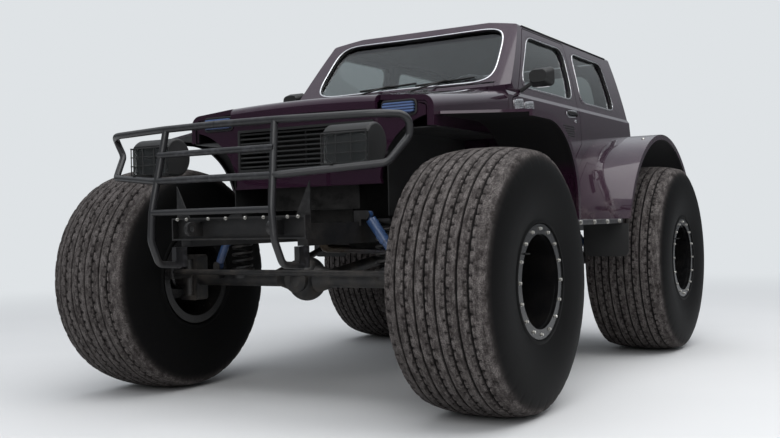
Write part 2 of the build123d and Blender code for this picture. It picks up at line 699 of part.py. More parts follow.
# Ladder frame: two rails, cross tubes, spring cups, damper heads, front beam with tow eyes, hitch
with BuildPart() as ladder_frame:
    for sign in SIDES.values():
        rail = (sign * RAIL_Y - RAIL_WIDTH / 2, sign * RAIL_Y + RAIL_WIDTH / 2)
        block(RAIL_REAR_X, RAIL_FRONT_X, *rail, RAIL_LOW_Z, RAIL_HIGH_Z)
    for cross_x in CROSS_XS:
        tube((cross_x, -RAIL_Y, RAIL_MID_Z), (cross_x, RAIL_Y, RAIL_MID_Z), CROSS_TUBE_R)
    for axle_x, toward, end in ((FRONT_AXLE_X, -1, "front"), (REAR_AXLE_X, 1, "rear")):
        for sign in SIDES.values():
            cup = (axle_x - SPRING_CUP_REACH, axle_x + SPRING_CUP_REACH)
            cup_top_z = RAIL_HIGH_Z + SPRING_CUP_THICK
            rail_side = RAIL_Y + RAIL_WIDTH / 2
            block(*cup, sign * (rail_side - 1), sign * (SPRING_Y + SPRING_R), RAIL_HIGH_Z, cup_top_z)
            block(*cup, sign * (RAIL_Y - 10), sign * rail_side, RAIL_HIGH_Z - 20, cup_top_z)
            hanger_x = axle_x + toward * LINK_LENGTH
            hanger_y = (sign * LINK_Y - LINK_BRACKET_HALF, sign * LINK_Y + LINK_BRACKET_HALF)
            hanger = (hanger_x - LINK_HANGER_HALF, hanger_x + LINK_HANGER_HALF)
            block(*hanger, *hanger_y, LINK_END_Z - 30, RAIL_LOW_Z + 1)
            head_x, head_y, head_z = DAMPER_HEAD[end]
            head_x = axle_x - toward * head_x
            head_height = (head_z - CHEEK_HALF, head_z + CHEEK_HALF)
            damper_cheeks(head_x, sign * head_y, head_z, (sign * RAIL_Y, sign * head_y), head_height)
            arm = DAMPER_EYE_HALF + SEAT_GAP + CHEEK_THICK
            root_y = head_y - DAMPER_EYE_R - CHEEK_CLEAR
            root_low_z = min(RAIL_HIGH_Z - 20, head_height[0])
            block(head_x - arm, head_x + arm, sign * RAIL_Y, sign * root_y, root_low_z, head_height[1])
    beam_x = (RAIL_FRONT_X, RAIL_FRONT_X + BEAM_DEPTH)
    block(beam_x[0], beam_x[0] + BEAM_THICK, -BEAM_HALF_WIDTH, BEAM_HALF_WIDTH, BEAM_LOW_Z, BEAM_HIGH_Z)
    for lip_z in (BEAM_LOW_Z, BEAM_HIGH_Z - BEAM_THICK):
        block(*beam_x, -BEAM_HALF_WIDTH, BEAM_HALF_WIDTH, lip_z, lip_z + BEAM_THICK)
    for sign in SIDES.values():
        block(*beam_x, sign * BEAM_HALF_WIDTH, sign * (BEAM_HALF_WIDTH - BEAM_THICK), BEAM_LOW_Z, BEAM_HIGH_Z)
        gusset = [
            (sign * GUSSET_OUTER_Y, BEAM_HIGH_Z - 1),
            (sign * GUSSET_OUTER_Y, GUSSET_TOP_Z),
            (sign * (GUSSET_OUTER_Y - GUSSET_FOOT), BEAM_HIGH_Z - 1),
        ]
        end_prism(gusset, beam_x[0], beam_x[0] + GUSSET_THICK)
    eye_x = beam_x[1] + TOW_EYE_REACH
    eye_z = (BEAM_LOW_Z + BEAM_HIGH_Z) / 2
    for sign in SIDES.values():
        cheek = (sign * TOW_EYE_Y - TOW_EYE_THICK / 2, sign * TOW_EYE_Y + TOW_EYE_THICK / 2)
        block(beam_x[0], eye_x, *cheek, eye_z - TOW_EYE_OUTER_R, eye_z + TOW_EYE_OUTER_R)
        tube((eye_x, cheek[0], eye_z), (eye_x, cheek[1], eye_z), TOW_EYE_OUTER_R)
    for sign in SIDES.values():
        eye_side = (sign * TOW_EYE_Y - TOW_EYE_THICK, sign * TOW_EYE_Y + TOW_EYE_THICK)
        tube((eye_x, eye_side[0], eye_z), (eye_x, eye_side[1], eye_z), TOW_EYE_R, Mode.SUBTRACT)
    hitch_x = REAR_AXLE_X - REAR_REACH
    hitch_z = (RAIL_MID_Z - HITCH_THICK / 2, RAIL_MID_Z + HITCH_THICK / 2)
    block(hitch_x + HITCH_HALF_WIDTH, RAIL_REAR_X + 20, -HITCH_HALF_WIDTH, HITCH_HALF_WIDTH, *hitch_z)
    bore_x = hitch_x + HITCH_HALF_WIDTH
    tube((bore_x, 0, hitch_z[0]), (bore_x, 0, hitch_z[1]), HITCH_HALF_WIDTH)
    tube((bore_x, 0, hitch_z[0] - 2), (bore_x, 0, hitch_z[1] + 2), HITCH_BORE_R, Mode.SUBTRACT)
ladder_frame.part.label = "ladder_frame"
export_step(ladder_frame.part, "parts/ladder_frame.step")

# Bull bar: bent hoop with its side wings, two posts, short bars between the posts
with BuildPart() as bull_bar:
    for path, radii in ((HOOP_HALF, HOOP_RADII), (POST_PATH, POST_RADII)):
        with BuildLine() as bend:
            FilletPolyline(*[(F + x, y, z) for x, y, z in path], radius=radii)
        with BuildSketch(Plane(origin=bend.line @ 0, z_dir=bend.line % 0)) as disc:
            Circle(HOOP_R)
        sweep(sections=disc.sketch, path=bend.line)
    for bar_x, bar_z, bar_half in CROSS_BARS:
        tube((F + bar_x, 0, bar_z), (F + bar_x, bar_half, bar_z), BAR_R)
    foot_y, foot_z = POST_PATH[-1][1:]
    block(*POST_MOUNT, foot_y - POST_MOUNT_HALF, foot_y + POST_MOUNT_HALF, foot_z - 10, RAIL_LOW_Z - SEAT_GAP)
    mirror(about=Plane.XZ)
bull_bar.part.label = "bull_bar"
export_step(bull_bar.part, "parts/bull_bar.step")

# Headlamps on the bull bar: humped pods with wire guards, and their lenses
with BuildPart() as headlamp_pods:
    high_z = LAMP_LOW_Z + LAMP_HEIGHT
    back = (LAMP_X - LAMP_DEPTH, LAMP_MID_Z + 20)
    for sign in SIDES.values():
        with BuildSketch(Plane.XZ.offset(-sign * LAMP_Y - LAMP_WIDTH / 2)) as outline:
            with BuildLine():
                Line((LAMP_X, LAMP_LOW_Z), (LAMP_X, high_z))
                ThreePointArc((LAMP_X, high_z), (LAMP_X - 0.55 * LAMP_DEPTH, high_z + LAMP_HUMP), back)
                ThreePointArc(back, (LAMP_X - 0.8 * LAMP_DEPTH, LAMP_LOW_Z + 24), (LAMP_X - 60, LAMP_LOW_Z))
                Line((LAMP_X - 60, LAMP_LOW_Z), (LAMP_X, LAMP_LOW_Z))
            make_face()
        extrude(outline.sketch, amount=LAMP_WIDTH)
    fillet(headlamp_pods.edges().filter_by(GeomType.CIRCLE), LAMP_EDGE_R)
    for sign in SIDES.values():
        with BuildSketch(Plane.YZ.offset(LAMP_X - LENS_THICK)) as pocket:
            with Locations((sign * LAMP_Y, LAMP_MID_Z)):
                RectangleRounded(LAMP_WIDTH - 2 * LAMP_WALL, LAMP_HEIGHT - 2 * LAMP_WALL, LAMP_CORNER_R)
        extrude(pocket.sketch, amount=LENS_THICK + 1, mode=Mode.SUBTRACT)
        foot_y = (sign * LAMP_Y - LAMP_FOOT_HALF, sign * LAMP_Y + LAMP_FOOT_HALF)
        block(LAMP_X - 50, LAMP_FOOT_X, *foot_y, LAMP_LOW_Z + SEAT_GAP, LAMP_LOW_Z + 6)
        wire_x = LAMP_X + GUARD_STAND
        for wire_y in GUARD_YS:
            y = sign * LAMP_Y + wire_y
            tube((wire_x, y, LAMP_MID_Z + GUARD_ZS[0]), (wire_x, y, LAMP_MID_Z + GUARD_ZS[-1]), GUARD_R)
        for wire_z in GUARD_ZS:
            z = LAMP_MID_Z + wire_z
            wire_ends = (sign * LAMP_Y + GUARD_YS[0] - GUARD_R, sign * LAMP_Y + GUARD_YS[-1] + GUARD_R)
            tube((wire_x, wire_ends[0], z), (wire_x, wire_ends[1], z), GUARD_R)
        for leg_y in (-1, 1):
            for leg_z in (-1, 1):
                corner = (
                    sign * LAMP_Y + leg_y * (LAMP_WIDTH / 2 - LAMP_WALL / 2),
                    LAMP_MID_Z + leg_z * GUARD_ZS[-1],
                )
                tube((LAMP_X - 2, *corner), (wire_x + GUARD_R, *corner), GUARD_R + 1)
headlamp_pods.part.label = "headlamp_pods"
export_step(headlamp_pods.part, "parts/headlamp_pods.step")

with BuildPart() as headlamp_lenses:
    for sign in SIDES.values():
        with BuildSketch(Plane.YZ.offset(LAMP_X - LENS_THICK + SEAT_GAP)) as glass:
            with Locations((sign * LAMP_Y, LAMP_MID_Z)):
                RectangleRounded(
                    LAMP_WIDTH - 2 * LAMP_WALL - 2 * SEAT_GAP,
                    LAMP_HEIGHT - 2 * LAMP_WALL - 2 * SEAT_GAP,
                    LAMP_CORNER_R - SEAT_GAP,
                )
        extrude(glass.sketch, amount=LENS_THICK - 2)
headlamp_lenses.part.label = "headlamp_lenses"
export_step(headlamp_lenses.part, "parts/headlamp_lenses.step")

# Suspension: coil springs with ground ends, dampers, trailing links
with BuildPart() as coil_springs:
    coil_height = SPRING_TOP_Z - SPRING_FOOT_Z - 2 * SPRING_TIP
    for axle_x in AXLE_X.values():
        for sign in SIDES.values():
            with BuildLine() as coil:
                Helix(
                    pitch=coil_height / SPRING_TURNS,
                    height=coil_height,
                    radius=SPRING_R - SPRING_WIRE_R,
                    center=(axle_x, sign * SPRING_Y, SPRING_FOOT_Z + SPRING_TIP),
                )
            with BuildSketch(Plane(origin=coil.line @ 0, z_dir=coil.line % 0)) as wire:
                Circle(SPRING_WIRE_R)
            sweep(sections=wire.sketch, path=coil.line, is_frenet=True)
    mid_x = (FRONT_AXLE_X + REAR_AXLE_X) / 2
    with Locations((mid_x, 0, (SPRING_FOOT_Z + SPRING_TOP_Z) / 2)):
        Box(2 * WHEELBASE, 4 * SPRING_Y, SPRING_TOP_Z - SPRING_FOOT_Z, mode=Mode.INTERSECT)
coil_springs.part.label = "coil_springs"
export_step(coil_springs.part, "parts/coil_springs.step")

with BuildPart() as dampers:
    for axle_x, toward, end in ((FRONT_AXLE_X, 1, "front"), (REAR_AXLE_X, -1, "rear")):
        for sign in SIDES.values():
            ends = []
            for x, y, z in (DAMPER_FOOT, DAMPER_HEAD[end]):
                ends.append(Vector(axle_x + toward * x, sign * y, z))
            low, high = ends
            way = (high - low).normalized()
            span = (high - low).length
            stem = CHEEK_HALF + DAMPER_STEM_GAP
            tube(tuple(low + way * 12), tuple(low + way * (stem + 4)), DAMPER_ROD_R)
            tube(tuple(low + way * stem), tuple(low + way * span * 0.55), DAMPER_BODY_R)
            tube(tuple(low + way * span * 0.45), tuple(high - way * 12), DAMPER_ROD_R)
            tube(tuple(low + way * span * 0.48), tuple(high - way * stem), DAMPER_SHIELD_R)
    for axle_x, toward, end in ((FRONT_AXLE_X, 1, "front"), (REAR_AXLE_X, -1, "rear")):
        for sign in SIDES.values():
            for x, y, z in (DAMPER_FOOT, DAMPER_HEAD[end]):
                eye_x = axle_x + toward * x
                eye_ends = [(eye_x - DAMPER_EYE_HALF, sign * y, z), (eye_x + DAMPER_EYE_HALF, sign * y, z)]
                tube(*eye_ends, DAMPER_EYE_R)
                tube(*eye_ends, DAMPER_PIN_R + RUNNING_GAP, Mode.SUBTRACT)
dampers.part.label = "dampers"
export_step(dampers.part, "parts/dampers.step")

with BuildPart() as suspension_links:
    for axle_x, toward in ((FRONT_AXLE_X, -1), (REAR_AXLE_X, 1)):
        for sign in SIDES.values():
            rise = LINK_END_Z - AXLE_Z
            run = LINK_LENGTH - LINK_BRACKET - LINK_HANGER_HALF
            gap = SEAT_GAP + LINK_R * rise / sqrt(rise**2 + run**2)
            tube(
                (axle_x + toward * (LINK_BRACKET + gap), sign * LINK_Y, AXLE_Z),
                (axle_x + toward * (LINK_LENGTH - LINK_HANGER_HALF - gap), sign * LINK_Y, LINK_END_Z),
                LINK_R,
            )
suspension_links.part.label = "suspension_links"
export_step(suspension_links.part, "parts/suspension_links.step")

# Drive line
with BuildPart() as engine_block:
    engine_y = (-ENGINE_HALF_WIDTH, ENGINE_HALF_WIDTH)
    block(ENGINE_REAR_X, ENGINE_FRONT_X, *engine_y, CROSS_TOP_Z + SEAT_GAP, ENGINE_TOP_Z)
engine_block.part.label = "engine_block"
export_step(engine_block.part, "parts/engine_block.step")

with BuildPart() as radiator:
    core_z = (RADIATOR_Z[0] + RADIATOR_TANK, RADIATOR_Z[1] - RADIATOR_TANK)
    block(RADIATOR_X[0] + 8, RADIATOR_X[1] - 8, -RADIATOR_HALF + 20, RADIATOR_HALF - 20, *core_z)
    for tank_z in ((RADIATOR_Z[0], core_z[0]), (core_z[1], RADIATOR_Z[1])):
        block(*RADIATOR_X, -RADIATOR_HALF, RADIATOR_HALF, *tank_z)
    for sign in SIDES.values():
        block(*RADIATOR_X, sign * RADIATOR_HALF, sign * (RADIATOR_HALF - 20), *RADIATOR_Z)
        ear_y = (sign * (RADIATOR_HALF - 10), sign * (APRON_Y - LINER_THICK - SEAT_GAP))
        block(RADIATOR_X[0] + 20, RADIATOR_X[0] + 26, *ear_y, core_z[1] - 60, core_z[1])
radiator.part.label = "radiator"
export_step(radiator.part, "parts/radiator.step")

with BuildPart() as gearbox:
    bell_x = ENGINE_REAR_X - SEAT_GAP
    backward = {"x_dir": (0, 1, 0), "z_dir": (-1, 0, 0)}
    with BuildSketch(Plane(origin=(bell_x, 0, 905), **backward)) as bell_mouth:
        RectangleRounded(290, 250, 60)
    with BuildSketch(Plane(origin=(BELL_REAR_X, 0, BOX_MID_Z), **backward)) as bell_neck:
        RectangleRounded(170, 130, 30)
    loft([bell_mouth.sketch, bell_neck.sketch])
    extrude(bell_neck.sketch, amount=BELL_REAR_X - BOX_REAR_X)
    with BuildSketch(Plane.YZ.offset(CASE_X[0])) as case:
        with Locations(((CASE_Y[0] + CASE_Y[1]) / 2, (CASE_Z[0] + CASE_Z[1]) / 2)):
            RectangleRounded(CASE_Y[1] - CASE_Y[0], CASE_Z[1] - CASE_Z[0], 45)
    extrude(case.sketch, amount=CASE_X[1] - CASE_X[0])
    input_shaft = (INPUT_SHAFT_Y, INPUT_SHAFT_Z)
    tube((BOX_REAR_X + 10, *input_shaft), (CASE_X[1] - 10, *input_shaft), INPUT_SHAFT_R)
    for flange_x in (BOX_REAR_X - 16, CASE_X[1] - 1):
        tube((flange_x, *input_shaft), (flange_x + 17, *input_shaft), INPUT_FLANGE_R)
gearbox.part.label = "gearbox"
export_step(gearbox.part, "parts/gearbox.step")

with BuildPart() as propeller_shafts:
    for snout_x, case_x in ((F - SNOUT_REACH, CASE_X[1]), (REAR_AXLE_X + SNOUT_REACH, CASE_X[0])):
        rise = CASE_FLANGE_Z - AXLE_Z
        run = case_x - snout_x
        gap = (SEAT_GAP + SHAFT_R * abs(rise) / sqrt(rise**2 + run**2)) * run / abs(run)
        tube((snout_x + gap, DIFF_Y, AXLE_Z), (case_x - gap, DIFF_Y, CASE_FLANGE_Z), SHAFT_R)
propeller_shafts.part.label = "propeller_shafts"
export_step(propeller_shafts.part, "parts/propeller_shafts.step")

with BuildPart() as exhaust_pipe:
    with BuildLine() as exhaust_line:
        FilletPolyline(
            (F - 250, -ENGINE_HALF_WIDTH - SEAT_GAP, 1150),
            (F - 250, -270, 1150),
            (F - 300, -260, 1000),
            (F - 500, -260, 780),
            (SILENCER_X[1], PIPE_Y, PIPE_Z),
            (SILENCER_X[0], PIPE_Y, PIPE_Z),
            (REAR_AXLE_X + 300, -250, 790),
            (REAR_AXLE_X, -250, 800),
            (REAR_AXLE_X - 560, -250, 790),
            radius=[35, 40, 80, 80, 80, 80, 80],
        )
    with BuildSketch(Plane(origin=exhaust_line.line @ 0, z_dir=exhaust_line.line % 0)) as bore:
        Circle(PIPE_R)
    sweep(sections=bore.sketch, path=exhaust_line.line)
    with BuildSketch(Plane.YZ.offset(SILENCER_X[0] + 60)) as silencer:
        with Locations((PIPE_Y, PIPE_Z)):
            Ellipse(SILENCER_R, SILENCER_R - 8)
    extrude(silencer.sketch, amount=SILENCER_X[1] - SILENCER_X[0] - 120)
exhaust_pipe.part.label = "exhaust_pipe"
export_step(exhaust_pipe.part, "parts/exhaust_pipe.step")

with BuildPart() as fuel_tank:
    block(*TANK_X, *TANK_Y, TANK_LOW_Z, SILL_Z - SEAT_GAP)
    fillet(fuel_tank.edges().filter_by(Axis.Y), TANK_CORNER_R)
fuel_tank.part.label = "fuel_tank"
export_step(fuel_tank.part, "parts/fuel_tank.step")

# Front panel with its arches, bonnet hinge lugs and indicator plates; grille, wings and bonnet
with BuildPart() as front_panel:
    panel_x = (PANEL_X - PANEL_THICK, PANEL_X)
    with BuildSketch(Plane.YZ.offset(panel_x[0])) as face:
        with BuildLine():
            for sign in SIDES.values():
                arch = [(sign * y, z) for y, z in PANEL_ARCH]
                shoulder = [(sign * y, z) for y, z in PANEL_SHOULDER]
                ThreePointArc(*arch)
                Line(arch[2], (sign * PANEL_FOOT_HALF, PANEL_LOW_Z))
                Polyline(arch[0], *shoulder, (shoulder[-1][0], PANEL_HIGH_Z))
            Line((-PANEL_FOOT_HALF, PANEL_LOW_Z), (PANEL_FOOT_HALF, PANEL_LOW_Z))
            Line((-PANEL_SHOULDER[-1][0], PANEL_HIGH_Z), (PANEL_SHOULDER[-1][0], PANEL_HIGH_Z))
        make_face()
    extrude(face.sketch, amount=PANEL_THICK)
    surround = GRILLE_HALF + 12
    grille_mid_z = (GRILLE_LOW_Z + GRILLE_HIGH_Z) / 2
    grille_height = GRILLE_HIGH_Z - GRILLE_LOW_Z
    with BuildSketch(Plane.YZ.offset(panel_x[0])) as rim_face:
        with Locations((0, grille_mid_z)):
            RectangleRounded(2 * surround, grille_height + 24, 18)
    extrude(rim_face.sketch, amount=PANEL_THICK + 10)
    for hinge_y in HINGE_YS:
        for lug_y in (hinge_y - HINGE_HALF - LUG_THICK, hinge_y + HINGE_HALF):
            lug_z = (BONNET_HINGE[1] - HINGE_EYE_R, BONNET_HINGE[1] + HINGE_EYE_R)
            block(PANEL_X - 1, BONNET_HINGE[0], lug_y, lug_y + LUG_THICK, *lug_z)
            lug_eye = [(BONNET_HINGE[0], y, BONNET_HINGE[1]) for y in (lug_y, lug_y + LUG_THICK)]
            tube(*lug_eye, HINGE_EYE_R)
        pin_reach = HINGE_HALF + LUG_THICK / 2
        pin = [(BONNET_HINGE[0], y, BONNET_HINGE[1]) for y in (hinge_y - pin_reach, hinge_y + pin_reach)]
        tube(*pin, HINGE_PIN_R)
    with BuildSketch(Plane.YZ.offset(panel_x[0] - 20)) as opening:
        with Locations((0, grille_mid_z)):
            RectangleRounded(2 * GRILLE_HALF, grille_height, 8)
    extrude(opening.sketch, amount=PANEL_THICK + 60, mode=Mode.SUBTRACT)
front_panel.part.label = "front_panel"
export_step(front_panel.part, "parts/front_panel.step")

with BuildPart() as grille:
    frame_half = GRILLE_HALF - SEAT_GAP
    low, high = GRILLE_LOW_Z + SEAT_GAP, GRILLE_HIGH_Z - SEAT_GAP
    with BuildSketch(Plane.YZ.offset(PANEL_X - 20)) as border:
        with Locations((0, grille_mid_z)):
            RectangleRounded(2 * frame_half, high - low, 8 - SEAT_GAP)
            inside = (2 * (frame_half - GRILLE_FRAME), high - low - 2 * GRILLE_FRAME)
            RectangleRounded(*inside, 4, mode=Mode.SUBTRACT)
    extrude(border.sketch, amount=36)
    slat_pitch = (high - low) / (GRILLE_SLATS + 1)
    for slat in range(1, GRILLE_SLATS + 1):
        slat_z = low + slat * slat_pitch
        side_prism(
            [
                (PANEL_X + 12, slat_z - 1),
                (PANEL_X + 8, slat_z + SLAT_HALF),
                (PANEL_X - 14, slat_z + SLAT_HALF + 5),
                (PANEL_X - 14, slat_z - SLAT_HALF + 5),
                (PANEL_X + 8, slat_z - SLAT_HALF),
            ],
            -frame_half + 1,
            frame_half - 1,
        )
    for bar_y in (-frame_half / 2, 0, frame_half / 2):
        block(PANEL_X - 18, PANEL_X - 10, bar_y - 5, bar_y + 5, low + 1, high - 1)
grille.part.label = "grille"
export_step(grille.part, "parts/grille.step")


def wing_section(x, inner_y, centre_z, sign, low_z=WING_LOW_Z):
    """One wing's section seen from behind: upright side, rounded shoulder, crest beside the bonnet."""
    crest = centre_z - crown_drop(inner_y, centre_z)
    with BuildSketch(Plane.YZ.offset(x)) as section:
        with BuildLine():
            shoulders = []
            for skin in (0, WING_THICK):
                side_top = (sign * (WING_Y - skin), crest - 84)
                bend = (sign * (WING_Y - 15 - 0.8 * skin), crest - 42 - 0.6 * skin)
                top = (sign * (WING_Y - WING_SHOULDER - 0.25 * skin), crest - 20 - skin)
                ThreePointArc(side_top, bend, top)
                shoulders.append((side_top, top))
            edge_y = sign * (inner_y + MOVING_GAP)
            Polyline(shoulders[0][1], (edge_y, crest), (edge_y, crest - WING_THICK), shoulders[1][1])
            foot = [(sign * WING_Y, low_z), (sign * (WING_Y - WING_THICK), low_z)]
            Polyline(shoulders[0][0], *foot, shoulders[1][0])
        make_face()
    return section.sketch


wing_stations = ((WING_FRONT_X, BONNET_FRONT_HALF, BONNET_FRONT_Z), (COWL_X, BONNET_REAR_HALF, BONNET_REAR_Z))
with BuildPart() as front_wings:
    for sign in SIDES.values():
        loft([wing_section(*station, sign) for station in wing_stations])
front_wings.part.label = "front_wings"
export_step(front_wings.part, "parts/front_wings.step")

with BuildPart() as bonnet:
    turn = crown_turn(BONNET_REAR_HALF + 10, BONNET_FRONT_Z)
    rear_x = COWL_X + MOVING_GAP
    skin = BONNET_THICK
    with BuildSketch(crown_plane(turn)) as outline:
        with BuildLine():
            fold = (BONNET_FRONT_X - BONNET_FOLD, BONNET_FRONT_Z)
            under_fold = (fold[0] - 8, BONNET_FRONT_Z - skin)
            Line((BONNET_FRONT_X, BONNET_LIP_Z), (BONNET_FRONT_X, BONNET_FOLD_Z))
            ThreePointArc((BONNET_FRONT_X, BONNET_FOLD_Z), (BONNET_FRONT_X - 13, BONNET_FRONT_Z - 12), fold)
            Polyline(fold, (rear_x, BONNET_REAR_Z), (rear_x, BONNET_REAR_Z - skin), under_fold)
            inner_x = BONNET_FRONT_X - 20
            ThreePointArc(under_fold, (inner_x - 12, BONNET_FOLD_Z + 2), (inner_x, BONNET_FOLD_Z - 8))
            Polyline((inner_x, BONNET_FOLD_Z - 8), (inner_x, BONNET_LIP_Z), (BONNET_FRONT_X, BONNET_LIP_Z))
        make_face()
    revolve(outline.sketch, axis=CROWN_AXIS, revolution_arc=2 * turn)
    with BuildSketch(Plane.XY.offset(BONNET_LIP_Z - 100)) as plan:
        with BuildLine():
            Polyline(
                (BONNET_FRONT_X + 10, BONNET_FRONT_HALF - 10),
                (F + 10, BONNET_FRONT_HALF),
                (COWL_X, BONNET_REAR_HALF),
                (COWL_X, -BONNET_REAR_HALF),
                (F + 10, -BONNET_FRONT_HALF),
                (BONNET_FRONT_X + 10, -BONNET_FRONT_HALF + 10),
                close=True,
            )
        make_face()
    extrude(plan.sketch, amount=400, mode=Mode.INTERSECT)
    for hinge_y in HINGE_YS:
        ear_y = (hinge_y - HINGE_HALF + SEAT_GAP, hinge_y + HINGE_HALF - SEAT_GAP)
        block(
            BONNET_HINGE[0] - 2, BONNET_HINGE[0] + HINGE_EYE_R, *ear_y, BONNET_HINGE[1], BONNET_LIP_Z + 10
        )
        ear_ends = [(BONNET_HINGE[0], y, BONNET_HINGE[1]) for y in ear_y]
        tube(*ear_ends, HINGE_EYE_R)
        tube(*ear_ends, HINGE_PIN_R + RUNNING_GAP, Mode.SUBTRACT)
bonnet.part.label = "bonnet"
export_step(bonnet.part, "parts/bonnet.step")

# Arch liners: a tall inner apron and a shelf over each front wheel
LINER_TOP_Z = WING_LOW_Z - SEAT_GAP
with BuildPart() as arch_liners:
    for sign in SIDES.values():
        liner_x = (COWL_X + SEAT_GAP, PANEL_X - PANEL_THICK - SEAT_GAP)
        block(*liner_x, sign * APRON_Y, sign * (APRON_Y - LINER_THICK), APRON_LOW_Z, LINER_TOP_Z)
        block(*liner_x, sign * APRON_Y, sign * (WING_Y - SEAT_GAP), LINER_TOP_Z - LINER_THICK, LINER_TOP_Z)
arch_liners.part.label = "arch_liners"
export_step(arch_liners.part, "parts/arch_liners.step")


# Cabin: one shell, split into the panels that meet on the real body
def cabin_block(inset):
    """The cabin as a full block, its outer skin drawn in by the inset, or grown if it is negative."""
    with BuildPart() as body:
        with BuildSketch(Plane.YZ.offset(TAIL_LOW[0] - 100)) as across:
            with BuildLine():
                Line((-SILL_Y, SILL_Z), (SILL_Y, SILL_Z))
                for sign in SIDES.values():
                    belt = (sign * BELT_Y, BELT_Z - SHOULDER_DROP)
                    shoulder = (sign * (BELT_Y - SHOULDER), BELT_Z)
                    gutter = (sign * GUTTER_Y, GUTTER_Z)
                    bow_y = (BELT_Y - SHOULDER + GUTTER_Y) / 2 + GLASS_BOW
                    ThreePointArc((sign * SILL_Y, SILL_Z), (sign * BELLY_Y, BELLY_Z), belt)
                    Line(belt, shoulder)
                    ThreePointArc(shoulder, (sign * bow_y, (BELT_Z + GUTTER_Z) / 2), gutter)
                ThreePointArc((GUTTER_Y, GUTTER_Z), (0, ROOF_Z), (-GUTTER_Y, GUTTER_Z))
            make_face()
            if inset:
                offset(amount=-inset, kind=Kind.INTERSECTION)
        extrude(amount=COWL_X - TAIL_LOW[0] + 200)
        with BuildSketch(Plane.XZ.offset(-CABIN_HALF)) as along:
            with BuildLine():
                Polyline(SCREEN_TOP, SCREEN_BASE, (COWL_X, COWL_TOP_Z), (COWL_X, SILL_Z))
                Polyline((COWL_X, SILL_Z), (TAIL_LOW[0] + TAIL_TUCK, SILL_Z), TAIL_LOW, TAIL_BELT, TAIL_TOP)
                ThreePointArc(TAIL_TOP, (ROOF_MID_X, ROOF_Z + ROOF_RISE), SCREEN_TOP)
            make_face()
            fillet(along.vertices().sort_by(Axis.Y)[-2:].sort_by(Axis.X)[0], TAIL_CORNER_R)
            if inset:
                offset(amount=-inset, kind=Kind.INTERSECTION)
        extrude(along.sketch, amount=2 * CABIN_HALF, mode=Mode.INTERSECT)
    return body.part


skin_block = cabin_block(0)
clear_block = cabin_block(-SEAT_GAP)
inner_block = cabin_block(WALL)
with BuildPart() as outer:
    add(skin_block)
    gutters = outer.edges().filter_by(lambda edge: abs(edge.center().Z - GUTTER_Z) < 40 and edge.length > 900)
    fillet(gutters.filter_by(lambda edge: abs(edge.center().Y) > SPLIT_TOP_Y), ROOF_EDGE_R)
outer_block = outer.part
with BuildPart() as shell:
    add(outer_block)
    add(inner_block, mode=Mode.SUBTRACT)
with BuildPart() as glass_layer:
    add(cabin_block(GLASS_INSET))
    add(cabin_block(GLASS_INSET + GLASS_THICK), mode=Mode.SUBTRACT)


def door_region(grow):
    """The door's outline as a prism through the left wall, cut clear of the rear wheel arch."""
    with BuildPart() as region:
        with BuildSketch(Plane.XZ.offset(-540)) as leaf:
            with BuildLine():
                Polyline(*DOOR_OUTLINE, close=True)
            make_face()
            fillet(leaf.vertices(), DOOR_CORNER_R)
            if grow:
                offset(amount=grow)
            with Locations((ARCH_X, AXLE_Z)):
                Circle(DOOR_ARCH_R - grow, mode=Mode.SUBTRACT)
        extrude(amount=-360)
    return region.part


def window_region(points, grow):
    """A window's outline as a prism through the left wall, its corners rounded."""
    with BuildPart() as region:
        with BuildSketch(Plane.XZ.offset(-540)) as opening:
            with BuildLine():
                Polyline(*points, close=True)
            make_face()
            fillet(opening.vertices(), WINDOW_CORNER_R)
            if grow:
                offset(amount=grow)
        extrude(amount=-360)
    return region.part


with BuildPart() as body_sides:
    add(shell.part)
    side_limit = [
        (SPLIT_BELT_Y, FLOOR_TOP_Z + SEAT_GAP),
        (SPLIT_BELT_Y, BELT_Z),
        (SPLIT_TOP_Y, ROOF_SPLIT_Z - SEAT_GAP),
        (CABIN_HALF + 100, ROOF_SPLIT_Z - SEAT_GAP),
        (CABIN_HALF + 100, FLOOR_TOP_Z + SEAT_GAP),
    ]
    end_prism(side_limit, TAIL_LOW[0] - 50, COWL_X + 50, Mode.INTERSECT)
    add(door_region(MOVING_GAP), mode=Mode.SUBTRACT)
    add(window_region(QUARTER_WINDOW, 0), mode=Mode.SUBTRACT)
    with BuildSketch(Plane.XZ.offset(-540)) as arch:
        with Locations((ARCH_X, AXLE_Z)):
            Circle(ARCH_R)
    extrude(arch.sketch, amount=-360, mode=Mode.SUBTRACT)
    for plate_z in DOOR_HINGE_ZS:
        block(
            DOOR_FRONT_X + SEAT_GAP,
            DOOR_FRONT_X + MOVING_GAP + 1,
            BELT_Y - 18 - HINGE_PLATE[0],
            BELT_Y - 18,
            plate_z - HINGE_PLATE[1],
            plate_z + HINGE_PLATE[1],
        )
    mirror(about=Plane.XZ)
body_sides.part.label = "body_sides"
export_step(body_sides.part, "parts/body_sides.step")

with BuildPart() as quarter_glass:
    add(glass_layer.part)
    add(window_region(QUARTER_WINDOW, -SEAT_GAP), mode=Mode.INTERSECT)
    mirror(about=Plane.XZ)
quarter_glass.part.label = "quarter_glass"
export_step(quarter_glass.part, "parts/quarter_glass.step")

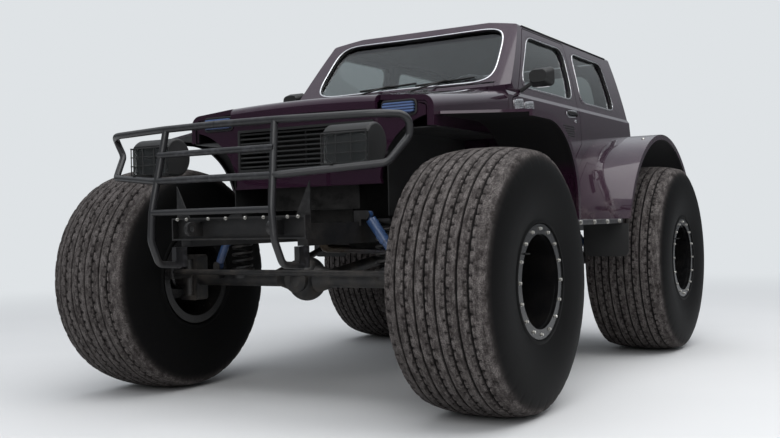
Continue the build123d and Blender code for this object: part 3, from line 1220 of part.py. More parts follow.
with BuildPart() as door:
    add(shell.part)
    add(door_region(0), mode=Mode.INTERSECT)
    add(window_region(DOOR_WINDOW, 0), mode=Mode.SUBTRACT)
with BuildPart() as pane:
    add(glass_layer.part)
    add(window_region(DOOR_WINDOW, -SEAT_GAP), mode=Mode.INTERSECT)
with BuildPart() as mirror_left:
    mirror_centre = (BELT_Y + MIRROR_OUT, BELT_Z + MIRROR_RISE)
    with BuildSketch(Plane.YZ.offset(MIRROR_X)) as mirror_face:
        with Locations(mirror_centre):
            RectangleRounded(*MIRROR_SIZE, 28)
    with BuildSketch(Plane.YZ.offset(MIRROR_X + MIRROR_DEPTH)) as mirror_back:
        with Locations(mirror_centre):
            RectangleRounded(MIRROR_SIZE[0] * 0.7, MIRROR_SIZE[1] * 0.62, 30)
    loft([mirror_face.sketch, mirror_back.sketch])
    arm_x = MIRROR_X + MIRROR_DEPTH / 2
    tube((arm_x, mirror_centre[0] - 45, mirror_centre[1] - 30), (arm_x + 8, BELT_Y - 14, BELT_Z + 14), 12)
    add(clear_block, mode=Mode.SUBTRACT)
for side, sign in SIDES.items():
    for kind, left_piece in (("door", door), ("door_glass", pane), ("door_mirror", mirror_left)):
        with BuildPart() as piece:
            if side == "left":
                add(left_piece.part)
            else:
                add(left_piece.part.mirror(Plane.XZ))
        piece.part.label = f"{kind}_{side}"
        export_step(piece.part, f"parts/{kind}_{side}.step")

with BuildPart() as roof:
    add(shell.part)
    with BuildSketch(Plane.XY.offset(ROOF_SPLIT_Z)) as above:
        with Locations((F - 2000, 0)):
            Rectangle(3000, 2000)
    extrude(above.sketch, amount=300, mode=Mode.INTERSECT)
    hinge_x = tail_x(GATE_HIGH_Z) + 14
    for hinge_y in (-GATE_HINGE_Y, GATE_HINGE_Y):
        block(
            hinge_x,
            hinge_x + 30,
            hinge_y - GATE_HINGE_HALF,
            hinge_y + GATE_HINGE_HALF,
            GATE_HIGH_Z + SEAT_GAP,
            ROOF_SPLIT_Z + 6,
        )
roof.part.label = "roof"
export_step(roof.part, "parts/roof.step")

with BuildPart() as floor_pan:
    add(shell.part)
    with BuildSketch(Plane.XY.offset(SILL_Z - 10)) as below:
        with Locations((F - 2000, 0)):
            Rectangle(3000, 2000)
    extrude(below.sketch, amount=FLOOR_TOP_Z - SILL_Z + 10, mode=Mode.INTERSECT)
    for sign in SIDES.values():
        with BuildSketch(Plane.XZ.offset(-sign * WHEELHOUSE_Y)) as arch:
            with Locations((ARCH_X, AXLE_Z)):
                Circle(ARCH_R)
        extrude(arch.sketch, amount=-sign * 400, mode=Mode.SUBTRACT)
floor_pan.part.label = "floor_pan"
export_step(floor_pan.part, "parts/floor_pan.step")

with BuildPart() as firewall:
    add(shell.part)
    wall_half = SPLIT_BELT_Y - SEAT_GAP - 7
    wall_z = (FLOOR_TOP_Z + SEAT_GAP, SCREEN_LOW_Z)
    with BuildSketch(Plane.YZ.offset(screen_x(SCREEN_LOW_Z) - 200)) as limit:
        with Locations((0, (wall_z[0] + wall_z[1]) / 2)):
            Rectangle(2 * wall_half, wall_z[1] - wall_z[0])
    extrude(limit.sketch, amount=600, mode=Mode.INTERSECT)
    bonnet_fall = (BONNET_REAR_Z - BONNET_FRONT_Z) / (BONNET_FRONT_X - BONNET_FOLD - COWL_X - MOVING_GAP)
    rest_z = BONNET_REAR_Z - BONNET_THICK - bonnet_fall * (REST_DEPTH - MOVING_GAP) - 2 * SEAT_GAP
    turn = crown_turn(REST_HALF, rest_z)
    with BuildSketch(crown_plane(turn)) as ledge:
        with Locations((COWL_X + (REST_DEPTH - 1) / 2, rest_z - REST_THICK / 2)):
            Rectangle(REST_DEPTH + 1, REST_THICK)
    revolve(ledge.sketch, axis=CROWN_AXIS, revolution_arc=2 * turn)
firewall.part.label = "firewall"
export_step(firewall.part, "parts/firewall.step")

with BuildPart() as windscreen:
    add(glass_layer.part)
    lean = (SPLIT_BELT_Y - SPLIT_TOP_Y) / (ROOF_SPLIT_Z - BELT_Z)
    low_half = SPLIT_BELT_Y - lean * (SCREEN_LOW_Z - BELT_Z) - SEAT_GAP
    high_half = SPLIT_TOP_Y - SEAT_GAP
    screen = [
        (low_half, SCREEN_LOW_Z + SEAT_GAP),
        (high_half, ROOF_SPLIT_Z - SEAT_GAP),
        (-high_half, ROOF_SPLIT_Z - SEAT_GAP),
        (-low_half, SCREEN_LOW_Z + SEAT_GAP),
    ]
    end_prism(screen, screen_x(ROOF_SPLIT_Z) - 150, COWL_X + 50, Mode.INTERSECT)
windscreen.part.label = "windscreen"
export_step(windscreen.part, "parts/windscreen.step")

# Tail: fixed lower panel, lifting gate with its glass
with BuildPart() as rear_panel:
    add(shell.part)
    with BuildSketch(Plane.YZ.offset(TAIL_LOW[0] - 100)) as limit:
        with Locations((0, (FLOOR_TOP_Z + SEAT_GAP + GATE_LOW_Z - MOVING_GAP) / 2)):
            Rectangle(2 * (SPLIT_BELT_Y - SEAT_GAP), GATE_LOW_Z - MOVING_GAP - FLOOR_TOP_Z - SEAT_GAP)
    extrude(limit.sketch, amount=400, mode=Mode.INTERSECT)
rear_panel.part.label = "rear_panel"
export_step(rear_panel.part, "parts/rear_panel.step")


def gate_window(grow):
    """The tailgate's window as a prism, its corners rounded."""
    with BuildPart() as region:
        with BuildSketch(Plane.YZ.offset(TAIL_LOW[0] - 100)) as opening:
            with BuildLine():
                Polyline(*GATE_WINDOW, close=True)
            make_face()
            fillet(opening.vertices(), GATE_CORNER_R)
            if grow:
                offset(amount=grow)
        extrude(amount=500)
    return region.part


with BuildPart() as tailgate:
    add(shell.part)
    end_prism(GATE_OUTLINE, TAIL_LOW[0] - 100, TAIL_LOW[0] + 300, Mode.INTERSECT)
    add(gate_window(0), mode=Mode.SUBTRACT)
tailgate.part.label = "tailgate"
export_step(tailgate.part, "parts/tailgate.step")

with BuildPart() as tailgate_glass:
    add(glass_layer.part)
    add(gate_window(-SEAT_GAP), mode=Mode.INTERSECT)
tailgate_glass.part.label = "tailgate_glass"
export_step(tailgate_glass.part, "parts/tailgate_glass.step")

# Wheel houses: the arched walls that close the cabin over the rear wheels
with BuildPart() as wheel_houses:
    with BuildSketch(Plane.XZ.offset(-WHEELHOUSE_Y)) as arch_band:
        with Locations((ARCH_X, AXLE_Z)):
            Circle(ARCH_R - SEAT_GAP)
            Circle(ARCH_R - LINER_THICK, mode=Mode.SUBTRACT)
        with Locations((ARCH_X, SILL_Z - 1500)):
            Rectangle(3000, 3000, mode=Mode.SUBTRACT)
    extrude(arch_band.sketch, amount=-(SILL_Y - WHEELHOUSE_Y - 2))
    with BuildSketch(Plane.XZ.offset(-WHEELHOUSE_Y)) as arch_wall:
        with Locations((ARCH_X, AXLE_Z)):
            Circle(ARCH_R - SEAT_GAP)
        with Locations((ARCH_X, SILL_Z - 1500)):
            Rectangle(3000, 3000, mode=Mode.SUBTRACT)
    extrude(arch_wall.sketch, amount=-LINER_THICK)
    add(cabin_block(WALL + SEAT_GAP), mode=Mode.INTERSECT)
    mirror(about=Plane.XZ)
wheel_houses.part.label = "wheel_houses"
export_step(wheel_houses.part, "parts/wheel_houses.step")

# Lamps: front indicators on the front panel and upright tail lamps on the body's rear corners
with BuildPart() as marker_lamps:
    for sign in SIDES.values():
        with BuildSketch(Plane.YZ.offset(PANEL_X + SEAT_GAP)) as indicator:
            with Locations((sign * INDICATOR_Y, INDICATOR_Z)):
                RectangleRounded(*INDICATOR_SIZE, 14)
        extrude(indicator.sketch, amount=INDICATOR_DEPTH)
        with BuildSketch(Plane.YZ.offset(tail_x(TAIL_LAMP_Z) - 3 * TAIL_LAMP_PROUD)) as tail_lamp:
            with Locations((sign * TAIL_LAMP_Y, TAIL_LAMP_Z)):
                RectangleRounded(*TAIL_LAMP_SIZE, 16)
        extrude(tail_lamp.sketch, amount=5 * TAIL_LAMP_PROUD)
    with BuildPart(mode=Mode.PRIVATE) as tail_limit:
        add(cabin_block(-TAIL_LAMP_PROUD))
        block(COWL_X, F + 400, -1000, 1000, 900, 1700)
    add(tail_limit.part, mode=Mode.INTERSECT)
    add(clear_block, mode=Mode.SUBTRACT)
marker_lamps.part.label = "marker_lamps"
export_step(marker_lamps.part, "parts/marker_lamps.step")

# Inside the cabin: dashboard with the steering column, steering wheel, seats
column_way = Vector(cos(radians(COLUMN_TILT)), 0, -sin(radians(COLUMN_TILT)))
wheel_centre = Vector(STEER_WHEEL_X, COLUMN_Y, STEER_WHEEL_Z)
column_top = wheel_centre + column_way * STEER_HUB_DEPTH
with BuildPart() as dashboard:
    side_prism(
        [
            (DASH_FRONT_X, DASH_LOW_Z),
            (DASH_FRONT_X, DASH_HIGH_Z),
            (DASH_FRONT_X - 60, DASH_HIGH_Z + 5),
            (DASH_FRONT_X - DASH_REACH + 30, DASH_HIGH_Z - 15),
            (DASH_FRONT_X - DASH_REACH, DASH_HIGH_Z - 55),
            (DASH_FRONT_X - DASH_REACH + 80, DASH_LOW_Z),
        ],
        -DASH_HALF,
        DASH_HALF,
        14,
    )
    tube(tuple(column_top), tuple(column_top + column_way * COLUMN_LENGTH), COLUMN_R + 10)
dashboard.part.label = "dashboard"
export_step(dashboard.part, "parts/dashboard.step")

with BuildPart() as steering_wheel:
    wheel_plane = Plane(origin=wheel_centre, x_dir=(0, 1, 0), z_dir=column_way)
    with Locations(wheel_plane.location):
        Torus(STEER_RIM_R, STEER_RIM_TUBE_R)
        Cylinder(STEER_HUB_R, 40)
        for turn in (0, 120, 240):
            with Locations(Location((0, 0, 0), (0, 0, turn))):
                with Locations((STEER_RIM_R / 2, 0, 0)):
                    Box(STEER_RIM_R, 26, 10)
    tube(tuple(wheel_centre), tuple(column_top - column_way * SEAT_GAP), COLUMN_R)
steering_wheel.part.label = "steering_wheel"
export_step(steering_wheel.part, "parts/steering_wheel.step")

with BuildPart() as seats:
    floor_z = FLOOR_TOP_Z + SEAT_GAP
    for sign in SIDES.values():
        side_prism(
            [
                (SEAT_FRONT_X, floor_z),
                (SEAT_FRONT_X, CUSHION_Z),
                (SEAT_REAR_X, CUSHION_Z - 35),
                (SEAT_REAR_X - 130, SEAT_TOP_Z),
                (SEAT_REAR_X - 215, SEAT_TOP_Z),
                (SEAT_REAR_X - 100, CUSHION_Z - 60),
                (SEAT_REAR_X + 20, CUSHION_Z - 120),
                (SEAT_REAR_X + 30, floor_z),
            ],
            sign * SEAT_Y - SEAT_WIDTH / 2,
            sign * SEAT_Y + SEAT_WIDTH / 2,
            SEAT_ROUND,
        )
    side_prism(
        [
            (REAR_SEAT_X, floor_z),
            (REAR_SEAT_X, CUSHION_Z),
            (REAR_SEAT_END_X, CUSHION_Z - 25),
            (REAR_SEAT_END_X - 100, REAR_SEAT_TOP_Z),
            (REAR_SEAT_END_X - 180, REAR_SEAT_TOP_Z),
            (REAR_SEAT_END_X - 120, floor_z),
        ],
        -WHEELHOUSE_Y + 4,
        WHEELHOUSE_Y - 4,
        SEAT_ROUND,
    )
seats.part.label = "seats"
export_step(seats.part, "parts/seats.step")

# Flares over the wheels with folded lips, running boards between them, mud flaps
with BuildPart() as front_flares:
    root_y = WING_Y + SEAT_GAP
    lip_y = FLARE_Y - FLARE_THICK
    for near_y, far_y, depth in ((root_y, FLARE_Y, FLARE_THICK), (lip_y, FLARE_Y, FLARE_LIP)):
        with BuildSketch(Plane.XZ.offset(-near_y)) as band:
            with BuildLine():
                turn = (FLARE_REAR_X + FLARE_CORNER_R, FLARE_TOP_Z - FLARE_CORNER_R)
                for skin in (0, depth):
                    Line((FLARE_FRONT_X, FLARE_TOP_Z - skin), (turn[0], FLARE_TOP_Z - skin))
                    CenterArc(turn, FLARE_CORNER_R - skin, 90, 90)
                    Line((FLARE_REAR_X + skin, turn[1]), (FLARE_REAR_X + skin, FLARE_FOOT_Z))
                Line((FLARE_FRONT_X, FLARE_TOP_Z), (FLARE_FRONT_X, FLARE_TOP_Z - depth))
                Line((FLARE_REAR_X, FLARE_FOOT_Z), (FLARE_REAR_X + depth, FLARE_FOOT_Z))
            make_face()
        extrude(band.sketch, amount=-(far_y - near_y))
    with BuildSketch(Plane.XY.offset(FLARE_FOOT_Z)) as plan:
        with BuildLine():
            Polyline(
                (FLARE_FRONT_X + 1, BELT_Y - 10),
                (FLARE_FRONT_X + 1, BELT_Y + 20),
                (FLARE_SLANT_X, FLARE_Y),
                (FLARE_REAR_X, FLARE_Y),
                (FLARE_REAR_X, BELT_Y - 10),
                close=True,
            )
        make_face()
    extrude(plan.sketch, amount=800, mode=Mode.INTERSECT)
    mirror(about=Plane.XZ)
front_flares.part.label = "front_flares"
export_step(front_flares.part, "parts/front_flares.step")

with BuildPart() as rear_flares:
    for near_y, depth in ((SILL_Y - 10, FLARE_THICK), (FLARE_Y - FLARE_THICK, FLARE_LIP)):
        with BuildSketch(Plane.XZ.offset(-near_y)) as band:
            with Locations((ARCH_X, AXLE_Z)):
                Circle(REAR_FLARE_R)
                Circle(REAR_FLARE_R - depth, mode=Mode.SUBTRACT)
            with Locations((ARCH_X, FLARE_FOOT_Z - 1500)):
                Rectangle(3000, 3000, mode=Mode.SUBTRACT)
        extrude(band.sketch, amount=-(FLARE_Y - near_y))
    add(clear_block, mode=Mode.SUBTRACT)
    with BuildSketch(Plane.XY.offset(FLARE_FOOT_Z)) as behind:
        with Locations((REAR_FLARE_END_X - 500, BOARD_Y)):
            Rectangle(1000, 1000)
    extrude(behind.sketch, amount=1000, mode=Mode.SUBTRACT)
    mirror(about=Plane.XZ)
rear_flares.part.label = "rear_flares"
export_step(rear_flares.part, "parts/rear_flares.step")

board_rear_x = ARCH_X + sqrt(REAR_FLARE_R**2 - (FLARE_FOOT_Z - AXLE_Z) ** 2)
with BuildPart() as running_boards:
    board = (FLARE_REAR_X, board_rear_x)
    for sign in SIDES.values():
        block(*board, sign * BOARD_INNER_Y, sign * BOARD_Y, BOARD_LOW_Z, BOARD_LOW_Z + BOARD_THICK)
        bracket_y = (sign * BOARD_INNER_Y, sign * (BOARD_INNER_Y + BOARD_BRACKET))
        block(*board, *bracket_y, BOARD_LOW_Z, SILL_Z - SEAT_GAP)
    outer_edges = running_boards.edges().filter_by(Axis.X)
    fillet(outer_edges.filter_by(lambda edge: abs(edge.center().Y) > BOARD_Y - 1), 8)
running_boards.part.label = "running_boards"
export_step(running_boards.part, "parts/running_boards.step")

with BuildPart() as mud_flaps:
    flap_x = board_rear_x + 12
    for sign in SIDES.values():
        with BuildSketch(Plane.YZ.offset(flap_x)) as flap:
            with Locations((sign * (FLAP_Y[0] + FLAP_Y[1]) / 2, (FLAP_LOW_Z + BOARD_LOW_Z - SEAT_GAP) / 2)):
                Rectangle(FLAP_Y[1] - FLAP_Y[0], BOARD_LOW_Z - SEAT_GAP - FLAP_LOW_Z)
            fillet(flap.vertices().sort_by(Axis.Y)[:2], 40)
        extrude(flap.sketch, amount=FLAP_THICK)
mud_flaps.part.label = "mud_flaps"
export_step(mud_flaps.part, "parts/mud_flaps.step")
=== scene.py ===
"""Monster truck: its finishes, tyres, trim and small fittings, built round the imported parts.

Metres, +X forward, +Y the vehicle's left, +Z up. Every piece's place is in its mesh.
"""
import bpy
import json
import math
import numpy as np
from mathutils import Matrix, Vector
from mathutils.bvhtree import BVHTree
from mathutils.geometry import convex_hull_2d


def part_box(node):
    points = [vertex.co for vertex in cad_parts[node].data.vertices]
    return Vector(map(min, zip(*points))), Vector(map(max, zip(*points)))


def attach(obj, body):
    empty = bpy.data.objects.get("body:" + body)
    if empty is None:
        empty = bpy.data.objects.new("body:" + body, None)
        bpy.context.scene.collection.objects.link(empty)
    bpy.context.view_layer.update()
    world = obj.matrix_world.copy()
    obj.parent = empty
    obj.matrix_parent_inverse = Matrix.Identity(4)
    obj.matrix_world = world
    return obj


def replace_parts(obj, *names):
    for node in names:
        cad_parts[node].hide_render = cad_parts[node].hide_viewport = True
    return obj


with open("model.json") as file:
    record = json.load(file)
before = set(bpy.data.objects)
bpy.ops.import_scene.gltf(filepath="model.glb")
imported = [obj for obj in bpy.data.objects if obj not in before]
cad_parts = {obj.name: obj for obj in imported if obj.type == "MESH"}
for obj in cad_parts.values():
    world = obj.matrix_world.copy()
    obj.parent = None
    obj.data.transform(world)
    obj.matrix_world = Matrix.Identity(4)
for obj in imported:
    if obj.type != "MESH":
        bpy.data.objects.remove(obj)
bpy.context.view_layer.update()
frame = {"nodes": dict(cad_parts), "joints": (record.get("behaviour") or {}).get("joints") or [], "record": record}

# Places read from the frame, and values that several pieces share

JOINTS = {joint["name"]: joint for joint in frame["joints"]}
CORNERS = [name.removesuffix("_wheel_spin") for name in JOINTS if name.endswith("_wheel_spin")]
FRONT_X = JOINTS["front_left_wheel_spin"]["pos_m"][0]
SIDES = {"left": 1, "right": -1}
BACKGROUND = "#dfe3e6"
AMBER_FROM_Z = (1.476, 1.480)
SCREEN_BAND_Z = (2.035, 2.055)


# Materials


class Value:
    """A number or colour inside a material. Arithmetic on numbers adds Math nodes."""

    def __init__(self, finish, socket):
        self.finish = finish
        self.socket = socket

    def math(self, operation, *others):
        return self.finish.math(operation, self, *others)

    def __add__(self, other):
        return self.math("ADD", other)

    def __radd__(self, other):
        return self.math("ADD", other)

    def __sub__(self, other):
        return self.math("SUBTRACT", other)

    def __rsub__(self, other):
        return self.finish.math("SUBTRACT", other, self)

    def __mul__(self, other):
        return self.math("MULTIPLY", other)

    def __rmul__(self, other):
        return self.math("MULTIPLY", other)

    def __truediv__(self, other):
        return self.math("DIVIDE", other)

    def __pow__(self, other):
        return self.math("POWER", other)

    def ramp(self, low, high):
        """0 below low, 1 above high, and smooth between; low may be the larger."""
        settings = {"interpolation_type": "SMOOTHSTEP"}
        sockets = {"Value": self, "From Min": low, "From Max": high}
        return self.finish.node("ShaderNodeMapRange", settings, sockets)


class Finish:
    """A material with one Principled shader. node() adds any other node."""

    def __init__(self, name, constants):
        self.material = bpy.data.materials.new(name)
        self.material.use_nodes = True
        self.tree = self.material.node_tree
        self.tree.nodes.clear()
        self.output = self.tree.nodes.new("ShaderNodeOutputMaterial")
        self.shader = self.tree.nodes.new("ShaderNodeBsdfPrincipled")
        self.tree.links.new(self.shader.outputs[0], self.output.inputs["Surface"])
        for socket, value in constants.items():
            self.set(socket, value)

    def feed(self, socket, value):
        if isinstance(value, Value):
            self.tree.links.new(value.socket, socket)
        elif isinstance(value, str):
            socket.default_value = colour(value)
        else:
            socket.default_value = value

    def set(self, socket, value):
        self.feed(self.shader.inputs[socket], value)

    def node(self, kind, settings=None, sockets=None, output=0):
        made = self.tree.nodes.new(kind)
        for name, value in (settings or {}).items():
            setattr(made, name, value)
        for name, value in (sockets or {}).items():
            self.feed(made.inputs[name], value)
        return Value(self, made.outputs[output])

    def math(self, operation, *terms):
        return self.node("ShaderNodeMath", {"operation": operation}, dict(enumerate(terms)))

    def place(self):
        """The point on the object, in metres."""
        return self.node("ShaderNodeTexCoord", output=3)

    def parts(self, vector):
        """The three numbers of a vector."""
        split = self.node("ShaderNodeSeparateXYZ", None, {0: vector}).socket.node
        return [Value(self, output) for output in split.outputs]

    def gives_way(self, factor, kind, shade):
        """Where the factor is 1, a plain shader of one colour shows instead of the Principled one."""
        other = self.tree.nodes.new(kind)
        other.inputs["Color"].default_value = colour(shade)
        choice = self.tree.nodes.new("ShaderNodeMixShader")
        self.feed(choice.inputs[0], factor)
        self.tree.links.new(self.shader.outputs[0], choice.inputs[1])
        self.tree.links.new(other.outputs[0], choice.inputs[2])
        self.tree.links.new(choice.outputs[0], self.output.inputs["Surface"])

    def stretched(self, vector, scale):
        """A vector times another, number by number."""
        settings = {"operation": "MULTIPLY"}
        return self.node("ShaderNodeVectorMath", settings, {0: vector, 1: scale})

    def noise(self, scale, detail=3, roughness=0.5, vector=None):
        sockets = {
            "Vector": vector or self.place(),
            "Scale": scale,
            "Detail": detail,
            "Roughness": roughness,
        }
        return self.node("ShaderNodeTexNoise", None, sockets)

    def cells(self, scale, output=0):
        """Voronoi cells: output 0 is the distance to each cell's point, 1 its colour."""
        return self.node("ShaderNodeTexVoronoi", None, {"Vector": self.place(), "Scale": scale}, output)

    def blend(self, factor, first, second, kind="MIX"):
        settings = {"data_type": "RGBA", "blend_type": kind}
        return self.node("ShaderNodeMix", settings, {0: factor, 6: first, 7: second}, output=2)

    def facing_up(self):
        """1 on a level top, 0 on a wall, less than 0 underneath."""
        normal = self.node("ShaderNodeNewGeometry", output=1)
        return self.parts(normal)[2]

    def worn_edge(self, width):
        """Near 1 on sharp outer edges, where the skin's pointiness is above a half."""
        pointiness = self.node("ShaderNodeNewGeometry", output=7)
        return pointiness.ramp(0.5, 0.5 + width)

    def bump(self, height, distance, strength):
        """Relief from a height of 0 to 1 over a distance in metres."""
        sockets = {"Height": height, "Distance": distance, "Strength": strength}
        self.set("Normal", self.node("ShaderNodeBump", None, sockets))


def colour(text):
    """A six-figure hex colour as the linear red, green, blue and alpha that sockets take."""
    channels = [int(text[k : k + 2], 16) / 255 for k in (1, 3, 5)]
    linear = [v / 12.92 if v <= 0.04045 else ((v + 0.055) / 1.055) ** 2.4 for v in channels]
    return (*linear, 1.0)


def road_dust(finish, base, dust, low, high, most):
    """The base colour with pale dust: more near the ground, on level tops and in patches."""
    height = finish.parts(finish.place())[2]
    patches = finish.noise(9, detail=6, roughness=0.65).ramp(0.38, 0.72)
    amount = (height.ramp(high, low) * 0.8 + finish.facing_up().ramp(0.3, 1.0) * 0.35) * patches * most
    return finish.blend(amount, base, dust), amount


def body_paint():
    """Plum metallic under clear lacquer: two slow tones, fine flakes, faint orange peel and a dusty sill.
    Undersides and faces turned in towards the vehicle's middle get painted shade instead: matt near-black, without
    lacquer."""
    finish = Finish("plum_lacquer", {"Coat Roughness": 0.03, "Coat IOR": 1.42, "Specular IOR Level": 0.2})
    flakes = finish.cells(2600, output=1)
    tone = finish.blend(finish.noise(1.6, detail=1), "#220d1d", "#2e1628")
    glint = finish.blend(0.12, tone, flakes, "OVERLAY")
    normal = finish.parts(finish.node("ShaderNodeNewGeometry", output=1))
    across = finish.parts(finish.place())[1]
    # Painted shade: faces turned down, and faces turned in towards the middle, are painted matt near-black.
    inward = (normal[1] * across).ramp(-0.10, -0.30)
    below = normal[2].ramp(-0.30, -0.55)
    painted_shade = inward.math("MAXIMUM", below)
    shade, dusty = road_dust(finish, glint, "#8b8078", 0.86, 1.15, 0.22)
    # The painted shade swaps the paint for matt near-black and takes away the lacquer and the metal.
    finish.set("Base Color", finish.blend(painted_shade, shade, "#0c0b0c"))
    finish.set("Roughness", 0.24 + dusty * 0.5 + painted_shade * 0.45)
    finish.set("Metallic", 0.28 - painted_shade * 0.28)
    finish.set("Coat Weight", 1.0 - painted_shade)
    finish.bump(finish.noise(210, detail=2), 0.0006, 0.10)
    return finish.material


def satin_black(name, base, edge, roughness, grain, most_dust, wear=0.5):
    """Black coating with a fine grain, scuffed lighter edges and dust lying low down."""
    finish = Finish(name, {"Specular IOR Level": 0.45})
    worn = finish.worn_edge(0.10) * finish.noise(38, detail=5).ramp(0.45, 0.62)
    scuffed = finish.blend(worn * wear, base, edge)
    shade, dusty = road_dust(finish, scuffed, "#6d645b", 0.5, 1.1, most_dust)
    finish.set("Base Color", shade)
    finish.set("Roughness", roughness + finish.noise(60, detail=3) * 0.14 + dusty * 0.35)
    finish.bump(finish.noise(grain, detail=2), 0.0005, 0.25)
    return finish.material


def cast_metal():
    """Raw casting: grey, mottled, oily in patches."""
    finish = Finish("raw_casting", {"Metallic": 0.75})
    stain = finish.noise(14, detail=8, roughness=0.7).ramp(0.4, 0.65)
    finish.set("Base Color", finish.blend(stain, "#2c2b2a", "#131211"))
    finish.set("Roughness", 0.72 - stain * 0.35)
    finish.bump(finish.noise(420, detail=3), 0.0012, 0.5)
    return finish.material


def heat_dulled_steel():
    """Exhaust tube: brown-grey steel with straw and blue bands along it and light rust."""
    finish = Finish("exhaust_tube", {"Metallic": 0.9})
    x = finish.parts(finish.place())[0]
    bands = (x * 5.0 + finish.noise(6, detail=4) * 2.2).math("SINE") * 0.5 + 0.5
    steel = finish.blend(bands, "#5d5348", "#47464c")
    rust = finish.noise(46, detail=8, roughness=0.72).ramp(0.52, 0.68)
    finish.set("Base Color", finish.blend(rust * 0.7, steel, "#4a2c1c"))
    finish.set("Roughness", 0.42 + rust * 0.4)
    finish.bump(finish.noise(300), 0.0006, 0.3)
    return finish.material


def blue_enamel():
    """Blue enamel on the dampers, chipped to dark steel and dusty."""
    finish = Finish("blue_enamel", {"Coat Weight": 0.3})
    chips = finish.noise(85, detail=6, roughness=0.6).ramp(0.62, 0.68)
    shade, dusty = road_dust(finish, finish.blend(chips, "#243f66", "#1a1a1b"), "#6d645b", 0.6, 1.0, 0.5)
    finish.set("Base Color", shade)
    finish.set("Roughness", 0.38 + dusty * 0.4 + chips * 0.2)
    finish.bump(1 - chips, 0.0004, 0.4)
    return finish.material


def grained_plastic(name, base, pale, scale):
    """Moulded black plastic with a pebbled grain, faded in patches."""
    finish = Finish(name, {"Specular IOR Level": 0.4})
    fade = finish.noise(5, detail=4).ramp(0.4, 0.7)
    finish.set("Base Color", finish.blend(fade * 0.5, base, pale))
    finish.set("Roughness", 0.52 + fade * 0.12)
    finish.bump(finish.cells(scale), 0.0009, 0.3)
    return finish.material


def lets_lamps_through(finish, tint):
    """Gives the glass a clear shadow with a tint, so that what stands behind it is lit."""
    shadow = finish.node("ShaderNodeLightPath", output=1)
    finish.gives_way(shadow, "ShaderNodeBsdfTransparent", tint)


def window_glass(name, tint, band=None):
    """Toughened glass, faintly dusty; a windscreen also has a dark band along its top."""
    finish = Finish(name, {"Transmission Weight": 1.0, "IOR": 1.40})
    smear = finish.noise(7, detail=7, roughness=0.7).ramp(0.55, 0.85)
    finish.set("Roughness", 0.012 + smear * 0.03)
    shade = finish.blend(smear * 0.05, tint, "#ffffff")
    if band:
        height = finish.parts(finish.place())[2]
        shade = finish.blend(height.ramp(*band), shade, "#5c5762")
    finish.set("Base Color", shade)
    lets_lamps_through(finish, tint)
    return finish.material


def lamp_plastic():
    """Indicators and tail lamps: moulded prisms behind a glossy face, smoky blue in front; behind the
    middle of the vehicle they are red, with amber above."""
    finish = Finish("lamp_prisms", {"Coat Weight": 1.0, "Coat Roughness": 0.04})
    x, y, z = finish.parts(finish.place())
    prisms = (z * 440).math("SINE") * 0.5 + 0.5
    behind = x.ramp(FRONT_X - 1.0, FRONT_X - 1.2)
    front = finish.blend(prisms, "#16203a", "#50658f")
    rear_red = finish.blend(prisms, "#5c0a0c", "#8d1517")
    rear_amber = finish.blend(prisms, "#a0500c", "#c9741a")
    rear = finish.blend(z.ramp(*AMBER_FROM_Z), rear_red, rear_amber)
    finish.set("Base Color", finish.blend(behind, front, rear))
    finish.set("Roughness", 0.18 + prisms * 0.1)
    finish.bump(prisms, 0.0012, 0.5)
    return finish.material


def lamp_glass():
    """Headlamp glass: clear, with upright flutes."""
    finish = Finish("fluted_glass", {"Transmission Weight": 1.0, "IOR": 1.25})
    y = finish.parts(finish.place())[1]
    flutes = (y * 700).math("SINE") * 0.5 + 0.5
    finish.set("Base Color", finish.blend(flutes, "#e9eef0", "#fbfdfd"))
    finish.set("Roughness", 0.02 + flutes * 0.03)
    finish.bump(flutes, 0.0006, 0.25)
    lets_lamps_through(finish, "#f4f7f8")
    return finish.material


def seat_cloth():
    """Woven seat cloth: warp and weft in two greys, with soft creases."""
    finish = Finish("seat_weave", {"Sheen Weight": 0.25, "Sheen Roughness": 0.5})
    x, y, z = finish.parts(finish.place())
    warp = (y * 2600).math("SINE") * 0.5 + 0.5
    weft = ((x + z) * 2600).math("SINE") * 0.5 + 0.5
    weave = warp * weft
    worn = finish.noise(8, detail=4).ramp(0.4, 0.7)
    yarn = finish.blend(weave, "#1b1b1e", "#3a3a40")
    finish.set("Base Color", finish.blend(worn * 0.3, yarn, "#4a4744"))
    finish.set("Roughness", 0.86 - worn * 0.08)
    finish.bump(weave + finish.noise(16, detail=3) * 2.0, 0.0012, 0.4)
    return finish.material


def tyre_rubber():
    """Black rubber. Where the piece's tread attribute is 1 it is scuffed grey-brown in patches drawn out
    round the tyre; where its depth attribute rises towards 1, at a groove's bottom, it darkens as painted shade."""
    finish = Finish("tyre_rubber", {"Specular IOR Level": 0.08})
    tread = finish.node("ShaderNodeAttribute", {"attribute_name": "tread"}, output=2)
    depth = finish.node("ShaderNodeAttribute", {"attribute_name": "depth"}, output=2)
    drawn_out = finish.stretched(finish.place(), (1.0, 3.2, 1.0))
    streaks = finish.noise(15, detail=8, roughness=0.68, vector=drawn_out)
    mottle = finish.noise(46, detail=8, roughness=0.72)
    speck = finish.noise(190, detail=5, roughness=0.7)
    worn = tread * (streaks * 0.6 + mottle * 0.4).ramp(0.36, 0.64)
    side = finish.blend(mottle.ramp(0.45, 0.75) * 0.35, "#080808", "#111011")
    scuffed = finish.blend(speck.ramp(0.30, 0.72), "#393635", "#7f7977")
    fresh = finish.blend(worn * 0.9, "#231f1e", scuffed)
    surface = finish.blend(tread, side, fresh)
    # Painted shade: the deeper the groove, the darker its rubber.
    finish.set("Base Color", finish.blend(depth * 0.92, surface, "#0c0b0b"))
    finish.set("Roughness", 0.70 + worn * 0.2 - (1 - tread) * 0.12)
    finish.bump(mottle * 0.5 + speck * 0.5, 0.0025, 0.3)
    return finish.material


